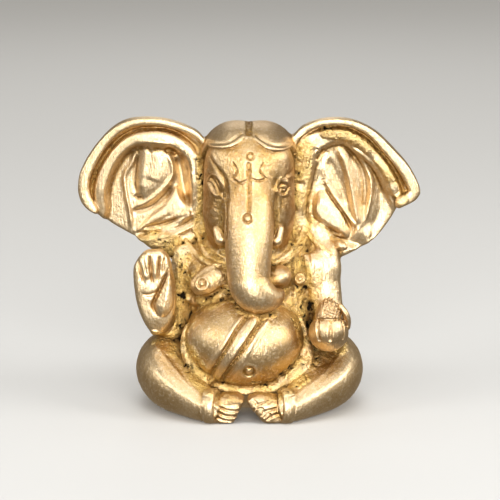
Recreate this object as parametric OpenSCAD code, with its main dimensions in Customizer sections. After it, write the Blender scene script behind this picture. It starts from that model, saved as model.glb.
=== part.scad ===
// Seated elephant-headed deity figurine, lost-wax cast in brass.
// Every module is one of the wax pieces that the pattern is put together from.
// They are cut to each other, so the pieces meet face to face and never overlap.
// Frame: +Z up, front faces -Y, origin on the flat underside below the head.

/* [Head] */
// Half width of the skull at the temples
head_rx = 7.4; // [6.6:0.1:8.0]
// Half depth of the skull
head_ry = 7.5; // [6.5:0.1:8.2]
// Radius of the trunk between the tusks
trunk_r = 4.1; // [3.4:0.1:4.6]
// Radius of the trunk's curled tip
trunk_tip_r = 1.25; // [0.9:0.05:1.6]
// Half width of one dome of the hair
dome_rx = 4.3; // [3.8:0.1:4.8]

/* [Ears] */
// Height of an ear, from its lobe to the top of its rim
ear_h = 22.1; // [21.0:0.1:23.0]
// Thickness of an ear at its middle
ear_t = 2.6; // [2.0:0.1:3.4]
// Depth of the dish in the front of an ear
ear_dish = 1.5; // [0.6:0.1:2.0]
// How far an ear's outer edge is swept back
ear_sweep = 1.6; // [0:0.1:3]
// Width of the rolled rim, as a share of the ear's radius
ear_rim = 0.14; // [0.10:0.01:0.20]

/* [Body] */
// Half width of the belly
belly_rx = 9.6; // [8.8:0.1:10.0]
// How far the belly stands forward
belly_ry = 8.6; // [7.6:0.1:9.2]
// Half width of the chest
chest_rx = 11.0; // [10.0:0.1:11.6]
// Radius of the upper arms
arm_r = 3.1; // [2.8:0.1:3.4]
// Height of the stole above the belly
stole_t = 0.45; // [0.3:0.05:0.8]

/* [Legs] */
// Half width of a knee
knee_rx = 5.3; // [4.6:0.1:5.8]
// Radius of an ankle
ankle_r = 2.35; // [2.0:0.05:2.7]
// Thickness of an anklet
anklet_w = 1.5; // [1.0:0.1:2.0]

/* [Quality] */
// Sides of the rounded forms
facets = 18; // [16:2:24]

/* [Hidden] */
brass = "#c8a25a";
pale_brass = "#d9bd85";
deep_brass = "#b98a35";
belly_c = [-0.7, -4.4, 11.4];
belly_r = [belly_rx, belly_ry, 8.0];

// Outlines of the ears as seen from the front: [x, z]
ear_right_line = [
    [-7.0, 43.4], [-9.0, 45.4], [-11.6, 46.9], [-14.8, 47.8], [-18.0, 47.7], [-21.0, 46.8],
    [-23.6, 45.0], [-25.6, 42.4], [-27.1, 39.2], [-27.9, 36.0], [-28.0, 34.0], [-27.0, 32.8],
    [-25.2, 31.8], [-22.8, 30.2], [-20.4, 28.4], [-18.2, 26.9], [-15.8, 26.2], [-13.0, 26.6],
    [-10.4, 27.6], [-8.2, 29.8], [-6.8, 33.0], [-6.2, 36.6], [-6.2, 40.2]];
ear_left_line = [
    [6.2, 40.2], [6.8, 43.6], [8.6, 45.4], [11.2, 47.0], [14.0, 47.8], [17.0, 47.5],
    [20.0, 46.2], [22.8, 43.8], [25.0, 41.0], [26.8, 38.0], [28.0, 35.4], [27.8, 34.2],
    [26.2, 33.2], [24.2, 32.2], [22.6, 29.8], [20.6, 27.4], [18.2, 25.9], [15.4, 24.9],
    [12.6, 25.6], [10.0, 27.6], [8.0, 30.2], [6.8, 33.2], [6.2, 36.6]];

// ---- helpers ----
module ball(p, r, f = facets) translate(p) scale(r) sphere(1, $fn = f);
module link(a, ra, b, rb, f = facets) hull() { ball(a, ra, f); ball(b, rb, f); }
// A chain of hulls through [centre, radii] pairs
module limb(s, f = facets)
    for (i = [0 : len(s) - 2]) hull() { ball(s[i][0], s[i][1], f); ball(s[i + 1][0], s[i + 1][1], f); }
module above_ground() intersection() {
    children();
    translate([-40, -40, 0]) cube([80, 80, 80]);
}
// An ear's outline is drawn 22.9 high over a lobe at 24.9, and set to its height
function tall(l) = [for (p = l) [p[0], 24.9 + (p[1] - 24.9) * ear_h / 22.9]];
function mid(l) = [for (k = [0, 1]) (max([for (p = l) p[k]]) + min([for (p = l) p[k]])) / 2];
// Height of an ear's front face over its edge plane, at a share t of the way from the middle to the edge
function ear_front(t) = t > 1 - ear_rim
    ? 0.9 * sin(180 * (1 - t) / (2 * ear_rim))
    : 0.9 - (ear_dish + 0.9) * pow(max(0, cos(90 * t / (1 - ear_rim))), 0.7);
function ear_y(x) = 1.2 + ear_sweep * pow(max(0, abs(x) - 7) / 21, 2);
module ear_plate(outline) {
    line = tall(outline);
    c = mid(line);
    n = len(line);
    steps = [0.3, 0.6, 1 - ear_rim, 1 - ear_rim / 2, 1];
    m = len(steps);
    function at(t, i) = [c[0] + (line[i][0] - c[0]) * t, c[1] + (line[i][1] - c[1]) * t];
    front = [for (t = steps) for (i = [0 : n - 1]) let (p = at(t, i)) [p[0], ear_y(p[0]) - ear_front(t), p[1]]];
    back = [for (t = steps) for (i = [0 : n - 1]) let (p = at(t, i)) [p[0], ear_y(p[0]) + 0.7 + (ear_t - 0.7) * sqrt(max(0, 1 - t * t)), p[1]]];
    cf = [c[0], ear_y(c[0]) - ear_front(0), c[1]];
    cb = [c[0], ear_y(c[0]) + ear_t, c[1]];
    pts = concat(front, back, [cf, cb]);
    fc = 2 * n * m;
    faces = concat(
        [for (i = [0 : n - 1]) [fc, (i + 1) % n, i]],
        [for (k = [0 : m - 2]) for (i = [0 : n - 1]) for (h = [0, 1]) let (a = k * n + i, b = k * n + (i + 1) % n) h == 0 ? [a, b, b + n] : [a, b + n, a + n]],
        [for (i = [0 : n - 1]) [fc + 1, n * m + i, n * m + (i + 1) % n]],
        [for (k = [0 : m - 2]) for (i = [0 : n - 1]) for (h = [0, 1]) let (a = (m + k) * n + i, b = (m + k) * n + (i + 1) % n) h == 0 ? [a, b + n, b] : [a, a + n, b + n]],
        [for (i = [0 : n - 1]) for (h = [0, 1]) let (a = (m - 1) * n + i, b = (m - 1) * n + (i + 1) % n) h == 0 ? [a, b, b + n * m] : [a, b + n * m, a + n * m]]);
    area = [for (i = [0 : n - 1]) let (a = line[i], b = line[(i + 1) % n]) a[0] * b[1] - a[1] * b[0]] * [for (i = line) 1];
    polyhedron(points = pts, faces = [for (f = faces) area > 0 ? f : [f[2], f[1], f[0]]], convexity = 6);
}

// ---- whole forms, before they are cut to each other ----
module trunk_form() limb([
    [[0, -3.6, 38.4], [4.9, 4.2, 4.9]], [[0, -6.0, 34.4], [4.6, 4.2, 4.6]],
    [[0, -7.9, 30.4], [1, 1, 1] * trunk_r], [[0, -9.2, 26.8], [1, 1, 1] * (trunk_r - 0.2)],
    [[0.1, -10.1, 23.6], [3.6, 3.6, 3.6]], [[0.3, -10.3, 21.5], [3.3, 3.4, 3.3]],
    [[1.2, -10.2, 20.3], [3.0, 3.1, 3.0]], [[2.6, -9.9, 19.6], [2.4, 2.5, 2.4]],
    [[3.9, -9.3, 19.5], [1.8, 1.9, 1.8]], [[4.8, -8.6, 20.0], [1, 1, 1] * trunk_tip_r]]);
module head_form() {
    link([0, 0.4, 38.6], [head_rx, head_ry, 7.0], [0, -0.2, 34.4], [head_rx - 0.1, head_ry - 0.6, 6.6]);
    for (s = [-1, 1]) {
        link([s * 3.6, -1.4, 33.6], [3.8, 5.4, 6.0], [s * 2.7, -3.2, 28.2], [2.6, 3.0, 3.0]);
        link([s * 4.4, -1.0, 40.2], [3.0, 5.8, 4.0], [s * 4.6, -2.8, 36.8], [2.8, 4.0, 3.0]);
    }
}
module dome_form(s) {
    link([s * 3.1, -1.0, 42.6], [dome_rx, 6.2, 3.6], [s * 3.0, 3.0, 41.5], [dome_rx + 0.2, 5.2, 4.5]);
    link([s * 3.0, 3.0, 41.5], [dome_rx + 0.2, 5.2, 4.5], [s * 2.6, 4.6, 36.8], [4.6, 4.2, 5.0]);
    link([s * 0.8, -1.0, 42.4], [2.6, 5.8, 3.5], [s * 0.8, 3.2, 41.4], [2.6, 5.0, 4.4]);
    link([s * 0.8, 3.2, 41.4], [2.6, 5.0, 4.4], [s * 0.8, 4.8, 37.0], [2.6, 4.0, 4.8]);
}
module jewel_form() link([0, -3.6, 45.4], [0.75, 1.3, 0.9], [0, -5.6, 44.3], [0.6, 0.9, 0.8], 14);
module eye_form(s) link([s * 5.3, -5.0, 36.9], [0.7, 0.8, 0.7], [s * 6.3, -4.1, 37.3], [0.7, 0.8, 0.7], 14);
module tusk_form(s) link([s * 4.3, -5.6, 31.0], [1.3, 1.3, 1.3], [s * 4.9, -7.4, 28.4], [1.0, 1.0, 1.0], 16);
module necklace_form() limb([
    [[-8.4, -1.8, 31.6], [0.7, 0.7, 0.7]], [[-7.4, -4.4, 28.6], [0.7, 0.7, 0.7]],
    [[-5.2, -6.2, 26.4], [0.7, 0.7, 0.7]], [[-2.4, -7.0, 24.8], [0.7, 0.7, 0.7]],
    [[2.4, -7.0, 24.8], [0.7, 0.7, 0.7]], [[5.2, -6.2, 26.4], [0.7, 0.7, 0.7]],
    [[7.4, -4.4, 28.6], [0.7, 0.7, 0.7]], [[8.4, -1.8, 31.6], [0.7, 0.7, 0.7]]], 12);
module belly_form() {
    ball(belly_c, belly_r, facets + 8);
}
module stole_form() intersection() {
    ball(belly_c, belly_r + [1, 1, 1] * stole_t, facets + 8);
    translate(belly_c + [0, -7, 0]) rotate([0, 26, 0]) translate([-1.0, 0, 0]) cube([2.7, 6, 24], center = true);
}
module hem_form() limb([
    for (a = [-165 : 15 : -15])
        [belly_c + [(belly_rx + 0.4) * cos(a), -3.2 + (belly_ry - 4.0) * sin(a) * 0.9, -0.4 + 6.6 * sin(a)], [0.9, 1.1, 0.9]]], 12);
module breast_form(s) {
    link([s * 4.6, -5.6, 22.8], [2.2, 2.0, 2.0], [s * 6.6, -5.4, 22.2], [2.0, 1.9, 1.9], 16);
    link([s * 6.8, -6.0, 22.1], [1.2, 1.6, 1.2], [s * 6.9, -6.6, 22.1], [0.9, 1.2, 0.9], 14);
}
module armlet_form() link([8.6, -5.0, 22.6], [1.0, 1.3, 1.0], [8.8, -3.6, 22.4], [1.2, 1.2, 1.2], 14);
module torso_form() {
    link([0, 0.8, 5.6], [13.0, 9.2, 6.2], [0, 0.8, 11.0], [11.8, 8.8, 7.0]);
    link([0, 0.8, 11.0], [11.8, 8.8, 7.0], [-0.4, 0, 20.6], [chest_rx, 7.6, 6.2]);
    link([-7.8, 0.2, 24.2], [4.6, 5.2, 4.8], [7.8, 0.2, 24.2], [4.6, 5.2, 4.8]);
    link([0, 0, 24.6], [8.6, 6.6, 6.0], [0, 0.8, 31.6], [8.0, 6.2, 5.4]);
    // thin web that the metal left between the raised hand and the chest
    link([-12.0, -2.4, 16.4], [2.2, 1.8, 3.4], [-10.8, -2.6, 23.2], [2.6, 1.8, 3.4]);
}
module upper_arm_right_form() limb([
    [[-9.4, 0.4, 25.6], [1, 1, 1] * arm_r], [[-11.0, 0.2, 20.0], [1, 1, 1] * arm_r],
    [[-12.4, -0.6, 15.0], [1, 1, 1] * arm_r]]);
module raised_hand_form() {
    limb([[[-14.0, -3.4, 13.6], [2.0, 1.9, 1.8]], [[-14.9, -4.4, 18.0], [3.0, 1.8, 2.8]],
          [[-15.4, -4.9, 21.6], [3.3, 1.6, 2.4]]]);
    for (i = [0 : 3]) link([-17.5 + i * 1.35, -4.9, 22.2], [0.95, 1.25, 1.4],
        [-17.0 + i * 1.2, -5.2, 25.4 + 0.9 * sin(50 + i * 40)], [0.78, 0.9, 1.0], 14);
}
module thumb_form() limb([
    [[-13.6, -5.4, 15.8], [1.4, 1.2, 1.6]], [[-13.2, -6.1, 18.6], [1.5, 1.2, 1.8]],
    [[-12.7, -5.9, 22.8], [0.8, 0.8, 1.0]]], 16);
module upper_arm_left_form() limb([
    [[10.4, 0.2, 25.6], [1, 1, 1] * arm_r], [[12.2, -0.2, 21.4], [1, 1, 1] * arm_r],
    [[12.7, -0.4, 14.8], [1, 1, 1] * arm_r]]);
module forearm_left_form() link([12.4, -1.4, 14.0], [2.9, 2.9, 2.9], [12.9, -5.4, 13.9], [2.4, 2.4, 2.4]);
module cupped_hand_form() {
    link([12.9, -6.6, 13.7], [2.5, 2.3, 2.5], [13.1, -8.6, 13.7], [2.6, 2.6, 2.7]);
    for (i = [0 : 3]) link([11.4 + i * 1.15, -8.8, 13.2], [0.75, 2.6, 2.0], [11.5 + i * 1.1, -8.8, 14.6], [0.7, 2.5, 1.6], 14);
}
module modak_form() hull() {
    ball([13.1, -8.6, 15.8], [2.3, 2.2, 1.8]);
    ball([13.0, -8.3, 17.8], [1.7, 1.6, 1.4]);
    ball([12.9, -8.2, 19.6], [0.5, 0.5, 0.5], 12);
}
module leg_form(s) above_ground() limb([
    [[s * 12.9, 0.8, 5.4], [knee_rx, 6.2, 6.2]], [[s * 13.2, -3.2, 5.4], [knee_rx, 5.6, 6.2]],
    [[s * 12.0, -6.8, 4.6], [4.6, 4.2, 5.0]], [[s * 9.8, -9.2, 3.4], [3.3, 3.0, 3.8]],
    [[s * 8.05, -10.6, 2.5], [ankle_r, ankle_r, ankle_r + 0.3]]]);
module anklet_form(s) above_ground() hull() for (k = [-1, 1])
    translate([s * 6.3, -11.6, 2.5]) rotate([0, 0, s * 30]) translate([k * anklet_w / 2, 0, 0])
        rotate([0, 90, 0]) scale([3.1, 2.85, 1]) cylinder(h = 0.01, r = 1, center = true, $fn = facets);
module foot_form(s) above_ground() {
    link([s * 4.9, -12.3, 2.3], [1.9, 1.9, 2.4], [s * 2.7, -12.6, 2.2], [1.6, 1.6, 2.6], 16);
    for (i = [0 : 4]) link([s * 3.6, -12.6, 3.0 - i * 0.55], [0.9, 1.2, 0.8],
        [s * (1.3 + i * 0.42), -13.1, 3.6 - i * 0.78], [0.75, 0.8, 0.7] * (1.1 - i * 0.07), 12);
}

// ---- the pieces, cut to each other ----
module trunk() color(pale_brass) trunk_form();
module tusk_right() color(pale_brass) difference() { tusk_form(-1); trunk_form(); }
module tusk_left() color(pale_brass) difference() { tusk_form(1); trunk_form(); }
module eye_right() color(deep_brass) eye_form(-1);
module eye_left() color(deep_brass) eye_form(1);
module hair_jewel() color(deep_brass) jewel_form();
module hair_dome_right() color(brass) difference() {
    dome_form(-1); jewel_form(); trunk_form();
    translate([0, -20, 20]) cube([20, 60, 60]);
}
module hair_dome_left() color(brass) difference() {
    dome_form(1); jewel_form(); trunk_form();
    translate([-20, -20, 20]) cube([20, 60, 60]);
}
module skull_cutters() { trunk_form(); for (s = [-1, 1]) { dome_form(s); tusk_form(s); eye_form(s); } jewel_form(); }
module head() color(brass) difference() { head_form(); skull_cutters(); }
module ear_cut(line) difference() {
    ear_plate(line);
    head_form(); for (s = [-1, 1]) dome_form(s); necklace_form();
    upper_arm_right_form(); upper_arm_left_form(); raised_hand_form();
}
module ear_right() color(brass) ear_cut(ear_right_line);
module ear_left() color(brass) ear_cut(ear_left_line);
module necklace() color(deep_brass) difference() { necklace_form(); trunk_form(); head_form(); for (s = [-1, 1]) tusk_form(s); }
module belly() color(pale_brass) difference() { belly_form(); trunk_form(); }
module stole() color(brass) difference() { stole_form(); belly_form(); trunk_form(); hem_form(); }
module lap_hem() color(deep_brass) difference() { hem_form(); belly_form(); for (s = [-1, 1]) foot_form(s); }
module breast_right() color(deep_brass) difference() { breast_form(-1); trunk_form(); necklace_form(); belly_form(); }
module breast_left() color(deep_brass) difference() { breast_form(1); trunk_form(); necklace_form(); belly_form(); armlet_form(); }
module armlet_left() color(brass) difference() { armlet_form(); necklace_form(); trunk_form(); belly_form(); upper_arm_left_form(); }
module raised_hand_right() color(pale_brass) difference() { raised_hand_form(); thumb_form(); leg_form(-1); }
module thumb_right() color(pale_brass) difference() { thumb_form(); leg_form(-1); }
module upper_arm_right() color(deep_brass) difference() {
    upper_arm_right_form(); raised_hand_form(); thumb_form(); head_form(); necklace_form(); leg_form(-1); hem_form(); belly_form();
}
module upper_arm_left() color(brass) difference() {
    upper_arm_left_form(); head_form(); necklace_form(); forearm_left_form(); leg_form(1); hem_form(); belly_form();
}
module sweet_modak() color(brass) modak_form();
module cupped_hand_left() color(pale_brass) difference() { cupped_hand_form(); modak_form(); leg_form(1); }
module forearm_left() color(brass) difference() { forearm_left_form(); cupped_hand_form(); modak_form(); leg_form(1); hem_form(); belly_form(); }
module leg_right() color(brass) difference() { leg_form(-1); anklet_form(-1); belly_form(); hem_form(); foot_form(-1); }
module leg_left() color(brass) difference() { leg_form(1); anklet_form(1); belly_form(); hem_form(); foot_form(1); }
module anklet_right() color(brass) difference() { anklet_form(-1); hem_form(); belly_form(); }
module anklet_left() color(brass) difference() { anklet_form(1); hem_form(); belly_form(); }
module foot_right() color(brass) difference() { foot_form(-1); anklet_form(-1); belly_form(); }
module foot_left() color(brass) difference() { foot_form(1); anklet_form(1); belly_form(); }
module torso() color(deep_brass) difference() {
    above_ground() torso_form();
    trunk_form(); head_form(); necklace_form(); belly_form(); stole_form(); hem_form();
    for (s = [-1, 1]) { dome_form(s); tusk_form(s); breast_form(s); leg_form(s); anklet_form(s); foot_form(s); }
    ear_plate(ear_right_line); ear_plate(ear_left_line);
    upper_arm_right_form(); upper_arm_left_form(); raised_hand_form(); thumb_form();
    forearm_left_form(); cupped_hand_form(); armlet_form();
}

torso();
belly();
stole();
lap_hem();
necklace();
head();
hair_dome_right();
hair_dome_left();
hair_jewel();
eye_right();
eye_left();
trunk();
tusk_right();
tusk_left();
ear_right();
ear_left();
breast_right();
breast_left();
armlet_left();
upper_arm_right();
raised_hand_right();
thumb_right();
upper_arm_left();
forearm_left();
cupped_hand_left();
sweet_modak();
leg_right();
leg_left();
anklet_right();
anklet_left();
foot_right();
foot_left();
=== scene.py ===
import bpy
import math
import numpy as np
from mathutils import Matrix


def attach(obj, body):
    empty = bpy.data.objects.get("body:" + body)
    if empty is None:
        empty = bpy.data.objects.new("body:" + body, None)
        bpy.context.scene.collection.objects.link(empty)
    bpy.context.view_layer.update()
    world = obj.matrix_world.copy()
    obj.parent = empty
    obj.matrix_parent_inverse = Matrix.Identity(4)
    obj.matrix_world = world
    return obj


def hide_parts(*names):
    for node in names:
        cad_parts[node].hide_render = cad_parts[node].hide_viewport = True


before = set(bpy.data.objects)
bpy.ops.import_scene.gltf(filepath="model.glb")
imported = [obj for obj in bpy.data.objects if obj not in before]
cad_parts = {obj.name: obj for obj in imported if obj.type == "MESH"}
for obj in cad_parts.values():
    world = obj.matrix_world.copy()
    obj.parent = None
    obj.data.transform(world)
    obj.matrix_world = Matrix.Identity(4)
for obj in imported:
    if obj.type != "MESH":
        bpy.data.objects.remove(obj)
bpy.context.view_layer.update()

F4 = np.float32

# ---------------------------------------------------------------- the view
# Front drawing plane: u to the right and v up, in mm, as seen from the camera.
# at(u, v, y) is the point of that line of sight that lies at depth y.
ELEV = math.radians(12.0)
DIST = 380.0
TARGET = np.array([0.16, -2.0, 25.65])
CE, SE = math.cos(ELEV), math.sin(ELEV)
CAM = TARGET + DIST * np.array([0.0, -CE, SE])


def at(uv, y):
    u, v = uv
    t = (y - CAM[1]) / (DIST * CE + v * SE)
    return np.array([CAM[0] + t * u, y, CAM[2] + t * (-DIST * SE + v * CE)])


# ---------------------------------------------------------------- the grid
H = 0.15
LO = np.array([-29.4, -15.6, -0.9])
HI = np.array([29.4, 12.0, 49.8])
NXYZ = [int(round((HI[a] - LO[a]) / H)) + 1 for a in range(3)]
AX = [(LO[a] + H * np.arange(NXYZ[a])).astype(F4) for a in range(3)]
BIG = 6.0


def smin(a, b, k):
    if np.isscalar(k) and k <= 0:
        return np.minimum(a, b)
    e = np.maximum(k - np.abs(a - b), 0)
    return np.minimum(a, b) - e * e * (0.25 / k)


def smax(a, b, k):
    return -smin(-a, -b, k)


def smooth(x, a, b):
    t = np.clip((x - a) / (b - a), 0, 1)
    return t * t * (3 - 2 * t)


class Box:
    """A block of the grid, with its coordinates ready to broadcast."""

    def __init__(s, lo, hi):
        s.i0 = [max(0, int(math.floor((lo[a] - LO[a]) / H))) for a in range(3)]
        s.i1 = [min(NXYZ[a], int(math.ceil((hi[a] - LO[a]) / H)) + 1) for a in range(3)]
        s.sl = tuple(slice(s.i0[a], s.i1[a]) for a in range(3))
        s.x = AX[0][s.sl[0]][:, None, None]
        s.y = AX[1][s.sl[1]][None, :, None]
        s.z = AX[2][s.sl[2]][None, None, :]
        s.shape = (s.x.size, s.y.size, s.z.size)


def ell(b, c, r, rx=0.0, ry=0.0, rz=0.0):
    """Ellipsoid; rx, ry, rz turn it, in degrees."""
    x, y, z = b.x - F4(c[0]), b.y - F4(c[1]), b.z - F4(c[2])
    if rx or ry or rz:
        m = rot(rx, ry, rz).T.astype(F4)
        x, y, z = (m[0, 0] * x + m[0, 1] * y + m[0, 2] * z,
                   m[1, 0] * x + m[1, 1] * y + m[1, 2] * z,
                   m[2, 0] * x + m[2, 1] * y + m[2, 2] * z)
    x2, y2, z2 = (x / F4(r[0])) ** 2, (y / F4(r[1])) ** 2, (z / F4(r[2])) ** 2
    k0 = np.sqrt(x2 + y2 + z2)
    k1 = np.sqrt(x2 / F4(r[0]) ** 2 + y2 / F4(r[1]) ** 2 + z2 / F4(r[2]) ** 2) + F4(1e-6)
    return k0 * (k0 - 1) / k1


def rot(rx, ry, rz):
    a, b, c = (math.radians(t) for t in (rx, ry, rz))
    mx = np.array([[1, 0, 0], [0, math.cos(a), -math.sin(a)], [0, math.sin(a), math.cos(a)]])
    my = np.array([[math.cos(b), 0, math.sin(b)], [0, 1, 0], [-math.sin(b), 0, math.cos(b)]])
    mz = np.array([[math.cos(c), -math.sin(c), 0], [math.sin(c), math.cos(c), 0], [0, 0, 1]])
    return mz @ my @ mx


def seg(b, p, q, rp, rq, sc=(1, 1, 1)):
    """Tapered capsule from p to q. sc squashes it: a cross-section axis is shorter where sc is above 1."""
    s = [F4(t) for t in sc]
    d = [F4(q[i] - p[i]) * s[i] for i in range(3)]
    x, y, z = (b.x - F4(p[0])) * s[0], (b.y - F4(p[1])) * s[1], (b.z - F4(p[2])) * s[2]
    dd = float(d[0] * d[0] + d[1] * d[1] + d[2] * d[2]) + 1e-9
    t = np.clip((x * d[0] + y * d[1] + z * d[2]) / F4(dd), 0, 1)
    x, y, z = x - t * d[0], y - t * d[1], z - t * d[2]
    r = np.sqrt(x * x + y * y + z * z) - (F4(rp) + t * F4(rq - rp))
    return r / F4(max(sc))


def curve(points, n=8, closed=False):
    """Catmull-Rom through rows of numbers."""
    p = np.array(points, float)
    m = len(p)
    out = []
    spans = m if closed else m - 1
    for i in range(spans):
        if closed:
            a, b, c, d = (p[(i + k) % m] for k in (-1, 0, 1, 2))
        else:
            a, b, c, d = p[max(i - 1, 0)], p[i], p[i + 1], p[min(i + 2, m - 1)]
        for j in range(n):
            t = j / n
            out.append(0.5 * ((2 * b) + (c - a) * t + (2 * a - 5 * b + 4 * c - d) * t ** 2 + (3 * b - a - 3 * c + d) * t ** 3))
    if not closed:
        out.append(p[-1])
    return np.array(out)


def tube(b, rows, n=5, sc=(1, 1, 1)):
    """Tube through [x, y, z, r] rows."""
    c = curve(rows, n)
    f = None
    for i in range(len(c) - 1):
        g = seg(b, c[i][:3], c[i + 1][:3], c[i][3], c[i + 1][3], sc)
        f = g if f is None else np.minimum(f, g)
    return f


# 2-D drawing on the columns of a box: X and Z only
def d_line(b, pts):
    """Distance in the XZ plane to a polyline, and how far along it the nearest point lies, 0 to 1."""
    x, z = b.x[:, :, 0], b.z[0]
    best = np.full((b.x.size, b.z.size), 1e9, F4)
    along = np.zeros_like(best)
    pts = np.array(pts, float)
    ln = np.concatenate([[0], np.cumsum(np.hypot(*(pts[1:] - pts[:-1]).T))])
    for i in range(len(pts) - 1):
        px, pz = pts[i]
        dx, dz = pts[i + 1] - pts[i]
        t = np.clip(((x - px) * dx + (z - pz) * dz) / (dx * dx + dz * dz + 1e-9), 0, 1)
        d = (x - px - t * dx) ** 2 + (z - pz - t * dz) ** 2
        m = d < best
        best = np.where(m, d, best)
        along = np.where(m, (ln[i] + t * (ln[i + 1] - ln[i])) / ln[-1], along)
    return np.sqrt(best).astype(F4), along.astype(F4)


def d_poly(b, pts):
    """Signed distance in the XZ plane to a closed outline, negative inside."""
    pts = np.array(pts, float)
    d, _ = d_line(b, np.vstack([pts, pts[:1]]))
    x, z = b.x[:, :, 0], b.z[0]
    inside = np.zeros(d.shape, bool)
    n = len(pts)
    for i in range(n):
        x1, z1 = pts[i]
        x2, z2 = pts[(i + 1) % n]
        if z1 == z2:
            continue
        c = (z1 > z) != (z2 > z)
        inside ^= c & (x < (x2 - x1) * (z - z1) / (z2 - z1) + x1)
    return np.where(inside, -d, d)


def xz(uvs, y):
    """Drawn points onto the plane at depth y, as (x, z)."""
    return np.array([at(q, y)[[0, 2]] for q in uvs])


PARTS = {}


class Part:
    def __init__(s, name, lo, hi, k):
        s.name, s.box, s.k, s.f = name, Box(lo, hi), k, None
        PARTS[name] = s

    def add(s, g, k=0.6):
        s.f = g if s.f is None else smin(s.f, g, k)
        return s


# ---------------------------------------------------------------- body
t = Part("torso", (-15.5, -10.5, -0.9), (15.0, 11.0, 36.0), 0)
b = t.box
t.add(ell(b, (0, 1.0, 5.0), (12.6, 8.8, 6.8)))
t.add(ell(b, (-0.3, 0.6, 13.0), (11.2, 8.2, 10.0)), 2.5)
t.add(ell(b, (-0.6, 0.2, 20.5), (10.6, 6.6, 7.0)), 2.0)
t.add(seg(b, (-8.2, 2.0, 23.4), (8.2, 2.0, 23.4), 3.6, 3.6), 2.0)
t.add(seg(b, (0, 0.1, 24.0), (0, 1.0, 34.0), 7.2, 6.4, sc=(1, 1.18, 1)), 2.0)
# a soft groove down the back
t.f = (t.f + 0.30 * np.exp(-(b.x / 1.9) ** 2) * smooth(b.y, 3.0, 6.0) * smooth(b.z, 5.0, 12.0) * (1 - smooth(b.z, 24.0, 30.0))).astype(F4)
# the webs of metal between the arms and the chest
t.add(seg(b, (-12.3, -2.0, 13.0), (-10.6, -0.6, 24.6), 2.3, 1.7, sc=(1, 1.3, 1)), 0.9)
t.add(seg(b, (11.6, -1.0, 13.0), (10.6, -1.4, 23.0), 2.4, 2.2, sc=(1, 1.3, 1)), 0.8)

t = Part("belly", (-12.5, -15.2, 0.5), (11.5, 4.0, 22.0), 0.5)
b = t.box
t.add(ell(b, (-0.75, -4.6, 11.35), (9.75, 8.8, 7.85)))

# ---------------------------------------------------------------- head
def skull(b):
    f = ell(b, (0, 0.8, 38.0), (7.4, 7.4, 7.5))
    f = smin(f, ell(b, (0, -1.5, 39.9), (6.5, 6.1, 5.5)), 1.2)
    return f


t = Part("head", (-9.5, -10.0, 23.0), (9.5, 9.5, 48.5), 0.9)
b = t.box
t.add(skull(b))
for s in (-1, 1):
    t.add(ell(b, (s * 3.55, -2.5, 32.6), (3.85, 4.4, 7.3)), 1.2)
    t.add(seg(b, (s * 3.9, -4.0, 41.0), (s * 4.2, -3.5, 36.6), 2.5, 2.7), 1.6)

TR = (1, 1.10, 1)
t = Part("trunk", (-8.0, -15.4, 14.5), (8.5, 1.5, 46.5), 0.75)
b = t.box
t.k = (0.55 + 2.4 * smooth(b.z, 31.5, 38.0)).astype(F4)
t.add(tube(b, [
    [0.0, -2.2, 39.6, 5.3], [0.0, -3.1, 38.6, 4.9], [0.0, -4.3, 36.8, 4.5], [0.0, -5.8, 34.3, 4.15],
    [0.0, -7.2, 31.4, 4.02], [0.0, -8.4, 28.5, 3.85], [-0.05, -9.3, 25.6, 3.58], [0.0, -9.9, 22.9, 3.38],
    [0.28, -10.2, 21.5, 3.32], [1.05, -10.2, 20.35, 3.12], [2.35, -9.9, 19.65, 2.5], [3.7, -9.3, 19.45, 1.75], [4.7, -8.6, 19.85, 1.05]], 6, sc=TR))

for s, side in ((-1, "right"), (1, "left")):
    t = Part("hair_dome_" + side, (-8.9 if s < 0 else -1.2, -8.9, 29.5), (1.2 if s < 0 else 8.9, 10.6, 48.4), 0.05)
    b = t.box
    f = skull(b)
    f = smin(f, ell(b, (s * 2.5, -0.7, 41.0), (4.5, 6.5, 4.7)), 1.2)
    f = smin(f, ell(b, (s * 2.4, 2.4, 40.0), (4.8, 6.4, 5.2)), 1.5)
    f = smin(f, ell(b, (s * 0.9, 3.7, 37.4), (6.0, 4.6, 5.6)), 2.0) - F4(0.42)
    # lower edge of the lobe, as seen from the front
    if s < 0:
        edge = xz([(-9.68, 16.77), (-7.26, 16.39), (-5.81, 16.26), (-4.47, 16.29), (-3.13, 16.55), (-1.79, 17.16), (-0.40, 18.31), (0.00, 18.71)], -6.6)
    else:
        edge = xz([(-0.32, 18.71), (0.08, 18.39), (1.29, 17.26), (2.35, 16.48), (3.69, 15.97), (5.29, 15.84), (6.61, 16.13), (7.58, 16.84), (10.00, 18.39)], -6.6)
    e = np.interp(b.x[:, 0, 0], edge[:, 0], edge[:, 1]).astype(F4)[:, None, None]
    e = e - np.maximum(b.y + 3.0, 0) * 0.95 + 0.35 * np.cos(b.x * 0.9) * smooth(b.y, 2.0, 6.0)      # the edge drops towards the nape
    f = smax(f, (e - b.z) * F4(0.85), 0.3)
    f = smax(f, -s * b.x - F4(0.05), (0.30 * (1 - smooth(b.y, -2.5, 1.5)) + 0.02).astype(F4))
    t.add(f)

# tusks lie half sunk in the cheeks
t = Part("tusk_right", (-8.0, -11.0, 24.0), (-1.5, -3.0, 34.5), 0.18)
t.add(seg(t.box, at((-5.35, 3.31), -6.1), at((-4.71, 1.71), -6.75), 0.62, 0.98))
t = Part("tusk_left", (2.0, -11.0, 24.0), (7.5, -3.0, 34.5), 0.18)
t.add(seg(t.box, at((4.87, 3.39), -6.4), at((4.32, 1.45), -7.15), 0.62, 0.84))

# ---------------------------------------------------------------- ears
G = lambda d, w: np.exp(-(d / F4(w)) ** 2)
G4 = lambda d, w: np.exp(-(d / F4(w)) ** 4)


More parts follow.
